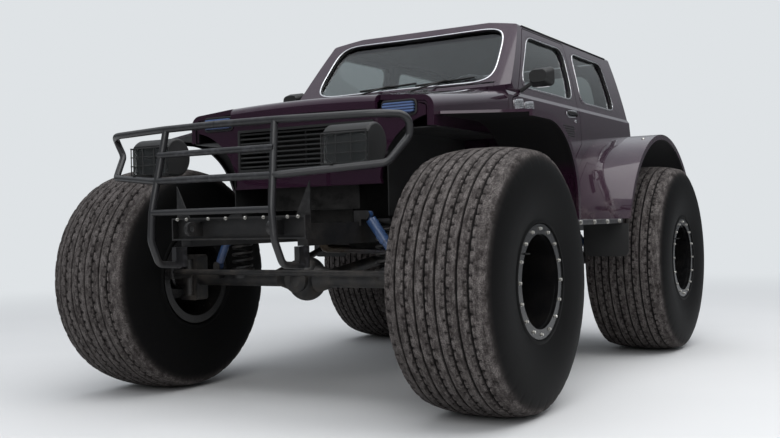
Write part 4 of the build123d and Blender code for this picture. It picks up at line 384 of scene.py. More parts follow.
def bright_metal(name, base, stain, roughness, grain):
    """Polished or plated metal, dulled in patches, with fine rubbing marks."""
    finish = Finish(name, {"Metallic": 1.0})
    dull = finish.noise(22, detail=6, roughness=0.65).ramp(0.42, 0.72)
    finish.set("Base Color", finish.blend(dull * 0.5, base, stain))
    finish.set("Roughness", roughness + dull * 0.18)
    finish.bump(finish.noise(grain, detail=2), 0.0004, 0.2)
    return finish.material


def soft_rubber():
    """Window rubber: matt black with a faint bloom."""
    finish = Finish("window_rubber", {"Specular IOR Level": 0.3})
    bloom = finish.noise(11, detail=5).ramp(0.45, 0.75)
    finish.set("Base Color", finish.blend(bloom * 0.4, "#0e0e0f", "#2a2a2b"))
    finish.set("Roughness", 0.68 + bloom * 0.1)
    finish.bump(finish.noise(500, detail=2), 0.0004, 0.25)
    return finish.material


def plain_floor():
    """Plain pale floor with a faint mottle, which fades into the pale background far from the vehicle."""
    finish = Finish("pale_floor", {"Specular IOR Level": 0.2})
    finish.set("Base Color", finish.blend(finish.noise(0.8, detail=3), "#c9c9c9", "#cfcfcf"))
    finish.set("Roughness", 0.85)
    x, y, _ = finish.parts(finish.place())
    far = ((x * x + y * y) ** 0.5).ramp(3.5, 11.0)
    seen = finish.node("ShaderNodeLightPath", output=0)
    finish.gives_way(far * seen, "ShaderNodeEmission", BACKGROUND)
    return finish.material


MATERIALS = {
    "body_paint": body_paint(),
    "black_steel": satin_black("powder_coat", "#151517", "#3c3c40", 0.30, 500, 0.15),
    "chassis_paint": satin_black("chassis_black", "#0e0e0f", "#2c2b2b", 0.42, 260, 0.3),
    "underbody_paint": satin_black("underseal", "#0b0b0b", "#1c1c1c", 0.66, 160, 0.15),
    "rim_paint": satin_black("rim_black", "#0b0b0c", "#1c1c1e", 0.16, 700, 0.05, wear=0.1),
    "spring_steel": satin_black("spring_black", "#151516", "#3a3a3a", 0.42, 300, 0.4),
    "damper_paint": blue_enamel(),
    "cast_metal": cast_metal(),
    "exhaust_steel": heat_dulled_steel(),
    "tyre_rubber": tyre_rubber(),
    "black_plastic": grained_plastic("moulded_black", "#121212", "#232323", 900),
    "cabin_plastic": grained_plastic("cabin_grain", "#17171a", "#29292c", 700),
    "seat_cloth": seat_cloth(),
    "clear_glass": window_glass("side_glass", "#e2eae8"),
    "lamp_glass": lamp_glass(),
    "lamp_plastic": lamp_plastic(),
}
ZINC = bright_metal("zinc_plate", "#b9b7b2", "#7d7a74", 0.30, 800)
BRIGHT = bright_metal("bright_trim", "#d6d6d8", "#a9a9ad", 0.14, 900)
MIRROR = bright_metal("mirror_face", "#e4e6e8", "#c9ccd0", 0.03, 60)
REFLECTOR = bright_metal("lamp_reflector", "#fbfcfd", "#eceef0", 0.42, 120)
RUBBER = soft_rubber()
SCREEN_GLASS = window_glass("screen_glass", "#dfe6e6", band=SCREEN_BAND_Z)

slots = {row["node"]: row["material_slot"] for row in frame["record"]["subparts"]}
for name, node in frame["nodes"].items():
    node.data.materials.clear()
    node.data.materials.append(SCREEN_GLASS if name == "windscreen" else MATERIALS[slots[name]])


# Forms: a form is its points and the faces between them, as whole arrays


def upright(points, faces):
    """The same form with its faces outward: they turn round where the signed volume is negative."""
    volume = 0.0
    for group in faces:
        first = points[group[:, 0]]
        for k in range(1, group.shape[1] - 1):
            second, third = points[group[:, k]], points[group[:, k + 1]]
            volume += np.einsum("ij,ij->i", first, np.cross(second, third)).sum()
    return (points, faces) if volume >= 0 else (points, [group[:, ::-1] for group in faces])


def closed_form(grid, ring=False):
    """A grid of rows x columns x 3 whose columns close on themselves. As a ring its rows close too;
    otherwise a flat face shuts its first and last rows."""
    rows, columns = grid.shape[:2]
    points = grid.reshape(-1, 3)
    index = np.arange(rows * columns).reshape(rows, columns)
    after = np.roll(index, -1, axis=1)
    upper = np.roll(index, -1, axis=0) if ring else index[1:]
    upper_after = np.roll(after, -1, axis=0) if ring else after[1:]
    count = rows if ring else rows - 1
    quads = np.stack([index[:count], after[:count], upper_after, upper], axis=-1).reshape(-1, 4)
    faces = [quads]
    if not ring:
        faces += [index[:1, ::-1], index[-1:]]
    return upright(points, faces)


def joined(forms):
    """Several forms as one: their points in one array, and their face indices moved up to match."""
    start = 0
    points, faces = [], []
    for form_points, form_faces in forms:
        points.append(form_points)
        faces += [group + start for group in form_faces]
        start += len(form_points)
    return np.concatenate(points), faces


def repeated(form, turns, places):
    """One small form at many places: each point is turned by a 3 x 3 matrix and moved to its place."""
    points, faces = form
    turns = np.asarray(turns, float).reshape(-1, 3, 3)
    places = np.asarray(places, float).reshape(-1, 3)
    moved = np.einsum("nij,pj->npi", turns, points) + places[:, None]
    steps = np.arange(len(places))[:, None, None] * len(points)
    return moved.reshape(-1, 3), [(group[None] + steps).reshape(-1, group.shape[1]) for group in faces]


def piece(name, form, body, slot, finish=None, smooth=40.0):
    """A form as a named object at the origin, riding on its body, smooth up to an angle in degrees. Its
    finish is its slot's, unless another is given."""
    points, faces = form
    mesh = bpy.data.meshes.new(name)
    mesh.from_pydata(points.tolist(), [], [row for group in faces for row in group.tolist()])
    mesh.polygons.foreach_set("use_smooth", np.ones(len(mesh.polygons), bool))
    mesh.set_sharp_from_angle(angle=math.radians(smooth))
    mesh.materials.append(finish or MATERIALS[slot])
    made = bpy.data.objects.new(name, mesh)
    bpy.context.scene.collection.objects.link(made)
    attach(made, body)
    return made


def frames_along(path, up, closed):
    """Side and up directions at each point of a path, from its tangent and a hint for up."""
    if closed:
        tangent = np.roll(path, -1, axis=0) - np.roll(path, 1, axis=0)
    else:
        tangent = np.gradient(path, axis=0)
    tangent /= np.linalg.norm(tangent, axis=1, keepdims=True)
    side = np.cross(tangent, np.broadcast_to(up, path.shape))
    side /= np.linalg.norm(side, axis=1, keepdims=True)
    return side, np.cross(side, tangent)


def carried(path, profile, up=(0, 0, 1.0), closed=False, scale=None):
    """A profile (side, up) carried along a path: point = path + scale x (first x side + second x up)."""
    side, top = frames_along(path, np.asarray(up, float), closed)
    scale = np.ones(len(path)) if scale is None else np.asarray(scale, float)
    across = profile[None, :, 0, None] * side[:, None] + profile[None, :, 1, None] * top[:, None]
    return closed_form(path[:, None] + across * scale[:, None, None], ring=closed)


def oval(width, height, count, power=1.0):
    """A closed profile: cosine and sine of the angle, to a power that squares it, times half sizes."""
    angle = np.arange(count) * 2 * math.pi / count
    wave = np.stack([np.cos(angle), np.sin(angle)], axis=1)
    return np.sign(wave) * np.abs(wave) ** power * (width / 2, height / 2)


def even(path, count, closed=False):
    """The same line with count points at equal distances along it."""
    line = np.concatenate([path, path[:1]]) if closed else path
    run = np.concatenate([[0], np.cumsum(np.linalg.norm(np.diff(line, axis=0), axis=1))])
    wanted = np.linspace(0, run[-1], count + 1)[:-1] if closed else np.linspace(0, run[-1], count)
    return np.stack([np.interp(wanted, run, line[:, k]) for k in range(line.shape[1])], axis=1)


def rounded(corners, radius):
    """A closed line through corners with curved turns: each is a parabola between points radius away."""
    corners = np.asarray(corners, float)
    before = np.roll(corners, 1, axis=0) - corners
    after = np.roll(corners, -1, axis=0) - corners
    start = before / np.linalg.norm(before, axis=1, keepdims=True) * radius
    end = after / np.linalg.norm(after, axis=1, keepdims=True) * radius
    t = np.linspace(0, 1, 7)[None, :, None]
    turns = corners[:, None] + start[:, None] * (1 - t) ** 2 + end[:, None] * t**2
    return turns.reshape(-1, corners.shape[1])


def rod(path, radius, sides, count, up):
    """A round bar along an even line, drawn in over its last steps so that its ends are domed."""
    line = even(np.asarray(path, float), count)
    scale = np.ones(count)
    scale[[0, -1]] = 0.45
    scale[[1, -2]] = 0.88
    return carried(line, oval(2 * radius, 2 * radius, sides), up, scale=scale)


def turned(profile, sides, centre, axis, flats=0):
    """A profile of (radius, height) turned about an axis: point = centre + radius x ring + height x axis.
    With flats, the radius follows that many flat sides from the profile's third row on."""
    axis = np.asarray(axis, float) / np.linalg.norm(axis)
    helper = (0, 0, 1.0) if abs(axis[2]) < 0.9 else (1.0, 0, 0)
    first = np.cross(axis, helper)
    first /= np.linalg.norm(first)
    second = np.cross(axis, first)
    angle = np.arange(sides) * 2 * math.pi / sides
    profile = np.asarray(profile, float)
    reach = np.ones((len(profile), sides))
    if flats:
        wedge = math.pi / flats
        reach[2:] = math.cos(wedge) / np.cos(np.mod(angle, 2 * wedge) - wedge)
    ring = np.cos(angle)[:, None] * first + np.sin(angle)[:, None] * second
    grid = (profile[:, 0, None] * reach)[..., None] * ring[None] + profile[:, 1, None, None] * axis
    return closed_form(grid + np.asarray(centre, float))


def pillow(centre, half, turn=np.eye(3), rows=14, columns=32, power=(0.5, 0.5)):
    """A squared-off ellipsoid: sines and cosines of latitude and longitude, to powers below 1, times the
    half sizes. Its rows stop just short of the poles and flat faces close them."""
    latitude = np.linspace(-0.5, 0.5, rows) * math.pi * 0.985
    longitude = np.arange(columns) * 2 * math.pi / columns
    level = np.cos(latitude) ** power[0]
    rise = np.sign(np.sin(latitude)) * np.abs(np.sin(latitude)) ** power[0]
    x = np.sign(np.cos(longitude)) * np.abs(np.cos(longitude)) ** power[1]
    y = np.sign(np.sin(longitude)) * np.abs(np.sin(longitude)) ** power[1]
    grid = np.stack(np.broadcast_arrays(level[:, None] * x, level[:, None] * y, rise[:, None]), axis=-1)
    return closed_form((grid * half) @ np.asarray(turn).T + np.asarray(centre, float))


def facing(normal, along=(0, 0, 1.0)):
    """A 3 x 3 turn whose third column is the normal and whose first lies near a wanted direction."""
    normal = np.asarray(normal, float) / np.linalg.norm(normal)
    first = np.asarray(along, float) - normal * np.dot(along, normal)
    first /= np.linalg.norm(first)
    return np.stack([first, np.cross(normal, first), normal], axis=1)


def box(node):
    """The lowest and highest corners of a node at rest."""
    return [np.array(corner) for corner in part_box(node)]


skins = {}


def touch(node, start, way):
    """Where a straight line from a start first meets a node's skin, and the skin's direction there."""
    if node not in skins:
        mesh = frame["nodes"][node].data
        corners = [vertex.co for vertex in mesh.vertices]
        skins[node] = BVHTree.FromPolygons(corners, [face.vertices for face in mesh.polygons])
    place, normal, _, _ = skins[node].ray_cast(Vector(start), Vector(way))
    if place is None:
        raise ValueError(f"no skin of {node} from {start}")
    normal = np.array(normal)
    return np.array(place), normal if np.dot(normal, way) < 0 else -normal


def pane_outline(node, way, count, half=0):
    """The edge of a pane's outer face, read from its node: the hull of the face's points seen along its
    normal. half picks the pane at one side of the vehicle where the node holds two."""
    mesh = frame["nodes"][node].data
    points = np.empty(len(mesh.vertices) * 3)
    mesh.vertices.foreach_get("co", points)
    points = points.reshape(-1, 3)
    corners = np.array([list(p.vertices[:3]) for p in mesh.polygons])
    triangles = points[corners]
    normals = np.cross(triangles[:, 1] - triangles[:, 0], triangles[:, 2] - triangles[:, 0])
    normals /= np.linalg.norm(normals, axis=1, keepdims=True) + 1e-12
    chosen = normals @ np.asarray(way, float) > 0.8
    if half:
        chosen &= triangles[:, :, 1].mean(axis=1) * half > 0
    face = np.unique(triangles[chosen].reshape(-1, 3).round(6), axis=0)
    normal = normals[chosen].mean(axis=0)
    turn = facing(normal)
    flat = face @ turn[:, :2]
    ring = face[convex_hull_2d([Vector(p) for p in flat])]
    return even(ring, count, closed=True), turn[:, 2]


# Tyres: one skin each, with its tread cut into it

PITCHES = 72
PITCH_STEPS = 6
RIBS = 9
TREAD_HALF = 0.226
TREAD_R = 0.6349
CROWN_DROP = 0.0249
GROOVE = 0.0125
GROOVE_DEPTH = 0.011
NOTCH_DEPTH = 0.009
SHOULDER_DEPTH = 0.0022
SHOULDER_DRAW = 0.001
NOTCH_CUT = np.array([0.0, 1.0, 0.2, 0.0, 0.0, 0.0])
TYRE_SIDE = np.array([
    (0.2242, 0.2326),
    (0.2246, 0.2500),
    (0.2248, 0.2665),
    (0.2310, 0.2705),
    (0.2440, 0.2712),
    (0.2520, 0.2750),
    (0.2530, 0.2830),
    (0.2480, 0.2920),
    (0.2520, 0.3120),
    (0.2600, 0.3450),
    (0.2665, 0.3850),
    (0.2705, 0.4250),
    (0.2718, 0.4550),
    (0.2705, 0.4900),
    (0.2660, 0.5250),
    (0.2585, 0.5550),
    (0.2500, 0.5780),
    (0.2415, 0.5960),
    (0.2335, 0.6080),
])
TYRE_INSIDE = np.array([
    (0.1990, 0.2326),
    (0.2060, 0.2900),
    (0.2380, 0.3800),
    (0.2450, 0.4600),
    (0.2300, 0.5400),
    (0.1900, 0.5830),
    (0.0900, 0.6050),
])


def tread_rows():
    """Rows across the tread: place, rib number, and 1 where a groove or a notch is cut. A rib has six
    rows and a groove two. Odd ribs are notched from one edge inward, even ribs from the other."""
    pitch = 2 * TREAD_HALF / RIBS
    rib = pitch - GROOVE
    rows = []
    for k in range(RIBS):
        start = -TREAD_HALF + k * pitch + GROOVE / 2
        inner = 0.66 if k % 2 else 0.34
        for share in (0.0, 0.04, inner - 0.04, inner + 0.04, 0.96, 1.0):
            notched = share > inner if k % 2 else share < inner
            rows.append((start + share * rib, k, 0.0, float(notched)))
        if k < RIBS - 1:
            for share in (0.18, 0.82):
                rows.append((start + rib + share * GROOVE, k, 1.0, 0.0))
    return np.array(rows)


def tyre(name, body, replaced):
    """One section turned round the axle: bead, lip, bulging wall, ribbed tread, and back along the
    inside. Its radius falls by a groove's depth all round, and by a notch's where the pitch has a cut."""
    low, high = box(replaced)
    centre = (low + high) / 2
    tread = tread_rows()
    crown = TREAD_R - CROWN_DROP * np.abs(tread[:, 0] / TREAD_HALF) ** 2.6
    wall, inside = TYRE_SIDE, TYRE_INSIDE
    y = np.concatenate([-wall[:, 0], tread[:, 0], wall[::-1, 0], inside[:, 0], -inside[::-1, 0]])
    r = np.concatenate([wall[:, 1], crown, wall[::-1, 1], inside[:, 1], inside[::-1, 1]])
    rows, columns = len(y), PITCHES * PITCH_STEPS
    first, last = len(wall), len(wall) + len(tread)
    rib = np.zeros(rows, int)
    groove, notch, lug = np.zeros(rows), np.zeros(rows), np.zeros(rows)
    rib[first:last] = tread[:, 1]
    groove[first:last] = tread[:, 2]
    notch[first:last] = tread[:, 3]
    lug[first - 4 : first] = lug[last : last + 4][::-1] = (0.35, 0.9, 1.0, 1.0)
    lug[first : first + 3] = lug[last - 3 : last] = 1.0
    rib[last:] = RIBS - 1
    step = np.arange(columns)
    cut = NOTCH_CUT[(step[None] + rib[:, None] * 3) % PITCH_STEPS]
    shoulder = NOTCH_CUT[(step[None] // 2 + (rib[:, None] > 0) * 2) % PITCH_STEPS]
    deep = groove[:, None] * GROOVE_DEPTH + notch[:, None] * cut * NOTCH_DEPTH
    deep = np.maximum(deep, lug[:, None] * shoulder * SHOULDER_DEPTH)
    angle = step * 2 * math.pi / columns
    radius = r[:, None] - deep
    drawn_in = np.sign(y)[:, None] * lug[:, None] * shoulder * SHOULDER_DRAW
    across = np.broadcast_to(y[:, None], radius.shape) - drawn_in
    grid = np.stack([radius * np.cos(angle), across, radius * np.sin(angle)], axis=-1) + centre
    form = closed_form(grid, ring=True)
    made = piece(name, form, body, "tyre_rubber", smooth=38)
    on_tread = np.zeros(rows)
    on_tread[first - 2 : last + 2] = 1.0
    on_tread[[first - 3, last + 2]] = 0.4
    # The depth mark, 0 to 1 down a groove, drives painted shade in the grooves in the tyre's finish.
    marks = {"tread": np.repeat(on_tread, columns), "depth": (deep / GROOVE_DEPTH).reshape(-1).clip(0, 1)}
    for label, values in marks.items():
        made.data.attributes.new(label, "FLOAT", "POINT").data.foreach_set("value", values)
    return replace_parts(made, replaced)


# Wheels: tyre, clamp-ring bolts, hub nuts and valve

RING_BOLTS = 16
RING_BOLT_R = 0.2455
RING_FACE = 0.246
RING_START = math.radians(91.5)
HUB_NUTS = 6
HUB_NUT_R = 0.088
DISC_FACE = -0.070
VALVE_ANGLE = math.radians(38)
VALVE_R = 0.218
BOLT = [(0.62, 0.0), (0.62, 0.12), (0.5, 0.13), (0.5, 0.8), (0.4, 1.0)]


def bolt_head(across, height):
    """A washer under a six-sided head, its top edge drawn in: a turned profile that follows six flats."""
    return turned([(r * across, z * height) for r, z in BOLT], 12, (0, 0, 0), (0, 0, 1), flats=6)


def ring_of(form, count, radius, centre, side, phase=0.0):
    """A small form repeated round a wheel's axis, facing out along the axle and turned with its angle."""
    angle = phase + np.arange(count) * 2 * math.pi / count
    places = np.stack([radius * np.cos(angle), np.zeros(count), radius * np.sin(angle)], axis=1) + centre
    turns = []
    for a in angle:
        turns.append(facing((0, side, 0), (math.cos(a), 0, math.sin(a))))
    return repeated(form, turns, places)


for corner in CORNERS:
    side = SIDES[corner.split("_")[1]]
    body = f"wheel_{corner}"
    low, high = box(f"tyre_{corner}")
    centre = (low + high) / 2
    out = np.array([0, side, 0])
    tyre(f"tread_{corner}", body, f"tyre_{corner}")
    ring_centre = centre + out * RING_FACE
    bolts = ring_of(bolt_head(0.015, 0.010), RING_BOLTS, RING_BOLT_R, ring_centre, side, RING_START)
    piece(f"clamp_bolts_{corner}", bolts, body, "cast_metal", ZINC, smooth=25)
    nuts = ring_of(bolt_head(0.024, 0.020), HUB_NUTS, HUB_NUT_R, centre + out * DISC_FACE, side)
    piece(f"hub_nuts_{corner}", nuts, body, "cast_metal", ZINC, smooth=25)
    foot = ring_centre + VALVE_R * np.array([math.cos(VALVE_ANGLE), 0, math.sin(VALVE_ANGLE)])
    stem = rod([foot - out * 0.012, foot + out * 0.008, foot + out * 0.022], 0.004, 8, 8, up=(1, 0, 0.01))
    piece(f"valve_{corner}", stem, body, "black_plastic")


# Window seals and bright trims, carried round each pane's edge

SKIN_LIFT = 0.018


def softened(loop, reach):
    """A closed line with rounded corners: each point becomes the mean of those within reach, twice."""
    for _ in range(2):
        loop = sum(np.roll(loop, step, axis=0) for step in range(-reach, reach + 1)) / (2 * reach + 1)
    return loop


def framed_pane(name, node, body, way, half=0, count=180, reach=4, trim=0.0075, rim=0.004):
    """Round a pane: a bright strip on the skin with rounded corners, a rubber lip under it on the glass,
    and painted metal between the strip and the opening's sharper corners."""
    outline, normal = pane_outline(node, way, count, half)
    middle = outline.mean(axis=0)
    inward = middle - outline
    inward -= np.outer(inward @ normal, normal)
    inward /= np.linalg.norm(inward, axis=1, keepdims=True)
    soft = softened(outline, reach) + inward * rim
    strip = carried(soft + normal * (SKIN_LIFT + 0.001), oval(trim, 0.007, 10, 0.7), normal, closed=True)
    piece(f"{name}_trim", strip, body, "cast_metal", BRIGHT)
    well = np.stack([soft + normal * SKIN_LIFT, soft + inward * 0.004 + normal * SKIN_LIFT])
    well = np.concatenate([well, well[::-1] - normal * (SKIN_LIFT - 0.0005) + inward * 0.003])
    piece(f"{name}_seal", closed_form(well, ring=True), body, "black_plastic", RUBBER)
    wide = outline - inward * 0.010
    web = np.stack([
        wide + normal * (SKIN_LIFT + 0.0012),
        soft + normal * (SKIN_LIFT + 0.0008),
        soft + normal * 0.002,
        wide + normal * (SKIN_LIFT - 0.0030),
    ])
    piece(f"{name}_web", closed_form(web, ring=True), body, "body_paint", smooth=30)


SCREEN_WAY = (0.75, 0, 0.65)
framed_pane("windscreen", "windscreen", "chassis", SCREEN_WAY, count=240, reach=7, trim=0.010, rim=0.010)
framed_pane("gate_window", "tailgate_glass", "tailgate", (-0.96, 0, 0.2), count=170)
for hand, side in SIDES.items():
    framed_pane(f"door_window_{hand}", f"door_glass_{hand}", f"{hand}_door", (0, side, 0.2))
    framed_pane(f"quarter_window_{hand}", "quarter_glass", "chassis", (0, side, 0.2), half=side)


# Doors: handles and locks, bright plates, vents and mirror glass

DOOR_SIDE_Y = 1.2


def on_side(node, x, z, side):
    """The point and skin direction of a node's outside, straight in from one side of the vehicle."""
    return touch(node, (x, side * DOOR_SIDE_Y, z), (0, -side, 0))


def laid_line(node, ends, side, count):
    """A straight line between two (x, z) ends, laid on a node's outside."""
    share = np.linspace(0, 1, count)[:, None]
    flat = np.asarray(ends[0]) * (1 - share) + np.asarray(ends[1]) * share
    return np.array([on_side(node, x, z, side)[0] for x, z in flat])


HANDLE_ENDS = ((-0.555, 1.612), (-0.722, 1.598))
HANDLE_LIFT = np.array([0.0, 0.014, 0.022, 0.026, 0.027, 0.026, 0.022, 0.014, 0.0])
HANDLE_PLATE = (-0.638, 1.605)
LOCK = (-0.700, 1.560)
LOCK_PROFILE = [(0.012, 0.0), (0.012, 0.003), (0.009, 0.005), (0.004, 0.005)]
SIDE_PLATE_XS = (0.232, 0.076)
SIDE_PLATE_Z = 1.592
LOUVRE_ROWS = 5
LOUVRE_TOP = 1.520
LOUVRE_STEP = 0.015
LOUVRE_XS = (-0.40, -0.66)
MIRROR_Y = 0.887
for hand, side in SIDES.items():
    door = f"door_{hand}"
    body = f"{hand}_door"
    bow = laid_line(door, HANDLE_ENDS, side, len(HANDLE_LIFT))
    bow[:, 1] += side * HANDLE_LIFT
    grip = carried(even(bow, 28), oval(0.018, 0.011, 12, 0.8), (0, side, 0))
    plate_at, plate_normal = on_side(door, *HANDLE_PLATE, side)
    plate_turn = facing(plate_normal, (-1, 0, 0.08))
    plate = pillow(plate_at, (0.098, 0.024, 0.004), plate_turn, rows=8, columns=40)
    lock_at, lock_normal = on_side(door, *LOCK, side)
    lock = turned(LOCK_PROFILE, 20, lock_at, lock_normal)
    piece(f"door_handle_{hand}", grip, body, "black_plastic")
    piece(f"handle_plate_{hand}", plate, body, "cast_metal", BRIGHT)
    piece(f"door_lock_{hand}", lock, body, "cast_metal", BRIGHT)
    plates = []
    for plate_x in SIDE_PLATE_XS:
        at, out = on_side(door, plate_x, SIDE_PLATE_Z, side)
        turn = facing(out, (1, 0, -0.12))
        plates.append(pillow(at, (0.070, 0.028, 0.006), turn, rows=8, columns=40, power=(0.5, 0.3)))
        for row in (-0.014, 0.0, 0.014):
            rib_at = at + turn @ np.array([0, row, 0.0055])
            plates.append(pillow(rib_at, (0.058, 0.0035, 0.003), turn, rows=6, columns=16))
    piece(f"side_plates_{hand}", joined(plates), body, "cast_metal", BRIGHT, smooth=30)
    louvres = []
    for row in range(LOUVRE_ROWS):
        z = LOUVRE_TOP - row * LOUVRE_STEP
        line = laid_line(door, [(x, z) for x in LOUVRE_XS], side, 8)
        louvres.append(carried(line, oval(0.008, 0.007, 8, 0.7), (0, side, 0)))
    piece(f"door_vent_{hand}", joined(louvres), body, "black_plastic")
    low, high = box(f"door_mirror_{hand}")
    glass_at = np.array([low[0] - 0.0005, side * MIRROR_Y, (low[2] + high[2]) / 2])
    glass = pillow(glass_at, (0.064, 0.046, 0.003), facing((-1, 0, 0), (0, 1, 0)), rows=8, columns=36)
    piece(f"mirror_glass_{hand}", glass, body, "clear_glass", MIRROR)


# Screen base: wipers

WIPERS = ((-0.30, 0.10), (0.10, 0.50))
BLADE = 0.40
HUB_PROFILE = [(0.016, 0.0), (0.016, 0.012), (0.011, 0.022), (0.004, 0.024)]
for k, (pivot_y, tip_y) in enumerate(WIPERS):
    blade_line = []
    for t in np.linspace(0, 1, 12):
        y = tip_y - BLADE * (1 - t)
        place, normal = touch("windscreen", (0.9, y, 1.752 + 0.018 * t), (-1, 0, 0))
        blade_line.append(place + normal * 0.008)
    blade_line = np.array(blade_line)
    blade = carried(even(blade_line, 30), oval(0.010, 0.014, 8, 0.8), SCREEN_WAY)
    root = np.array([0.300, pivot_y, 1.716])
    elbow = np.array([0.288, pivot_y + 0.12, 1.742])
    arm = rod([root, elbow, blade_line[6] + (0.008, 0, 0.008)], 0.006, 8, 24, up=(0.7, 0, 0.7))
    hub = turned(HUB_PROFILE, 18, root - (0, 0, 0.022), (0.2, 0, 1))
    piece(f"wiper_{k}", joined([blade, arm, hub]), "chassis", "black_plastic")


# Front: strips in the wings' corners, indicator surrounds, lamp bowls; rows of bolts that stand on the skins

CORNER_X = 1.2505
CORNER_SIDE_Y = 0.7445
CORNER_LINE = (
    (0.490, 1.5366),
    (0.560, 1.5302),
    (0.650, 1.5222),
    (0.700, 1.5177),
    (0.728, 1.5125),
    (0.742, 1.500),
    (CORNER_SIDE_Y, 1.485),
    (CORNER_SIDE_Y, 1.397),
)
INDICATOR = (FRONT_X + 0.0405, 0.584, 1.493)
INDICATOR_HALF = np.array([0.098, 0.036])
PANEL_TOP_Z = 1.500
LAMP_Y = 0.600
LAMP_Z = 1.266
BULB_PROFILE = [(0.010, -0.03), (0.011, 0.0), (0.010, 0.016), (0.004, 0.022)]
BOARD_BOLT_XS = (0.26, 0.03, -0.20, -0.43)
FRONT_FLARE_BOLTS = ((1.02, 0.90), (0.84, 1.10), (0.60, 1.10))
REAR_FLARE_BOLTS = ((-1.05, 1.13), (-1.36, 1.13), (-1.62, 1.13))
BEAM_BOLT_YS = (-0.37, -0.31, -0.17, -0.06, 0.06, 0.17, 0.31, 0.37)
BEAM_Z = 0.962
DOME_PROFILE = [(0.011, 0.0), (0.011, 0.002), (0.008, 0.006), (0.003, 0.008)]
DOWN = (0, 0, -1)


def seated(form, rays, along=(1, 0, 0)):
    """A small form at each place where a ray (node, start, way) meets a skin, standing on that skin."""
    hits = [touch(*ray) for ray in rays]
    return repeated(form, [facing(normal, along) for _, normal in hits], [place for place, _ in hits])


def lamp_bowl(middle):
    """A thin squared bowl behind a lens: at depth t its outline is scaled by the root of 1 - 0.965 t^2.
    Inside the outer skin lies one a little smaller."""
    t = np.linspace(0, 1, 12)
    size = np.sqrt(1 - 0.965 * t**2)[:, None]
    loop = oval(2.0, 2.0, 48, 0.45)
    grids = np.broadcast_arrays(-0.075 * t[:, None], size * loop[:, 0] * 0.112, size * loop[:, 1] * 0.066)
    outer = np.stack(grids, axis=-1)
    inner = outer * (1.0, 0.985, 0.975) + (0.002, 0, 0)
    shell = np.concatenate([outer[::-1], inner]) + middle
    return closed_form(shell[::-1])


lens_back = box("headlamp_lenses")[0][0] - 0.002
for hand, side in SIDES.items():
    corner_line = np.array([(CORNER_X, side * y, z) for y, z in CORNER_LINE])
    corner_strip = carried(even(corner_line, 60), oval(0.014, 0.0175, 12, 0.6), (1.0, 0, 0))
    piece(f"wing_corner_strip_{hand}", corner_strip, "chassis", "body_paint")
    flat = INDICATOR_HALF * [(-1, -1), (1, -1), (1, 1), (-1, 1)]
    loop = even(rounded(flat, 0.020), 60, closed=True)
    path = np.column_stack([np.zeros(len(loop)), loop]) + INDICATOR * np.array([1, side, 1])
    for row in path:
        hit, _ = touch("front_panel", (2.0, row[1], min(row[2], PANEL_TOP_Z)), (-1, 0, 0))
        row[0] = hit[0] + 0.003
    surround = carried(path, oval(0.012, 0.012, 10, 0.7), (1, 0, 0), closed=True)
    piece(f"indicator_surround_{hand}", surround, "chassis", "black_plastic")

    middle = np.array([lens_back, side * LAMP_Y, LAMP_Z])
    piece(f"lamp_bowl_{hand}", lamp_bowl(middle), "chassis", "cast_metal", REFLECTOR)
    bulb = turned(BULB_PROFILE, 20, middle - (0.045, 0, 0), (1, 0, 0))
    piece(f"lamp_bulb_{hand}", bulb, "chassis", "lamp_glass")

    rays = [("running_boards", (x, side * 1.6, 0.9), (0, -side, 0)) for x in BOARD_BOLT_XS]
    bolts = seated(bolt_head(0.024, 0.012), rays)
    piece(f"board_bolts_{hand}", bolts, "chassis", "cast_metal", ZINC, smooth=25)
    rays = [("front_flares", (x, side * y, 2.0), DOWN) for x, y in FRONT_FLARE_BOLTS]
    rays += [("rear_flares", (x, side * y, 2.0), DOWN) for x, y in REAR_FLARE_BOLTS]
    dome = turned(DOME_PROFILE, 16, (0, 0, 0), (0, 0, 1))
    piece(f"flare_bolts_{hand}", seated(dome, rays), "chassis", "cast_metal", ZINC)

rays = [("ladder_frame", (2.4, y, BEAM_Z), (-1, 0, 0)) for y in BEAM_BOLT_YS]
beam_bolts = seated(bolt_head(0.015, 0.009), rays, (0, 1, 0))
piece("beam_bolts", beam_bolts, "chassis", "cast_metal", ZINC, smooth=25)


# Roof gutters, washer jets and the air intake at the screen's foot

GUTTER_XS = np.linspace(-0.10, -1.66, 24)
GUTTER_Z = 2.108
INTAKE_SLATS = 9
INTAKE_STEP = 0.05
for hand, side in SIDES.items():
    gutter = []
    for x in GUTTER_XS:
        place, normal = touch("roof", (x, side * 1.2, GUTTER_Z), (0, -side, 0))
        gutter.append(place + normal * 0.002)
    rail = carried(even(np.array(gutter), 60), oval(0.010, 0.010, 8, 0.7), (0, side, 0.2))
    piece(f"roof_gutter_{hand}", rail, "chassis", "black_plastic", RUBBER)
    jet_at, jet_normal = touch("bonnet", (0.43, side * 0.28, 2.2), DOWN)
    jet = pillow(jet_at, (0.016, 0.010, 0.008), facing(jet_normal, (1, 0, 0)), rows=10, columns=20)
    piece(f"washer_jet_{hand}", jet, "bonnet", "black_plastic")

intake_at, _ = touch("firewall", (0.315, 0.0, 2.3), DOWN)
slats = []
for k in range(INTAKE_SLATS):
    y = (k - INTAKE_SLATS // 2) * INTAKE_STEP
    slats.append(pillow(intake_at + (0.0, y, 0.003), (0.022, 0.008, 0.006), rows=8, columns=16))
piece("air_intake", joined(slats), "chassis", "black_plastic")


# Cabin: padded seats on their bases, and the gear lever


def leaned(degrees):
    """A 3 x 3 turn about the vehicle's cross axis; its third column leans back by the angle."""
    c, s = math.cos(math.radians(degrees)), math.sin(math.radians(degrees))
    return np.array([(c, 0, -s), (0, 1, 0), (s, 0, c)])


CLOTH_FRAMES = 20
CLOTH = {
    "quality": 5,
    "mass": 0.3,
    "tension_stiffness": 12,
    "compression_stiffness": 12,
    "shear_stiffness": 5,
    "bending_stiffness": 0.6,
    "use_pressure": True,
    "uniform_pressure_force": 4,
}


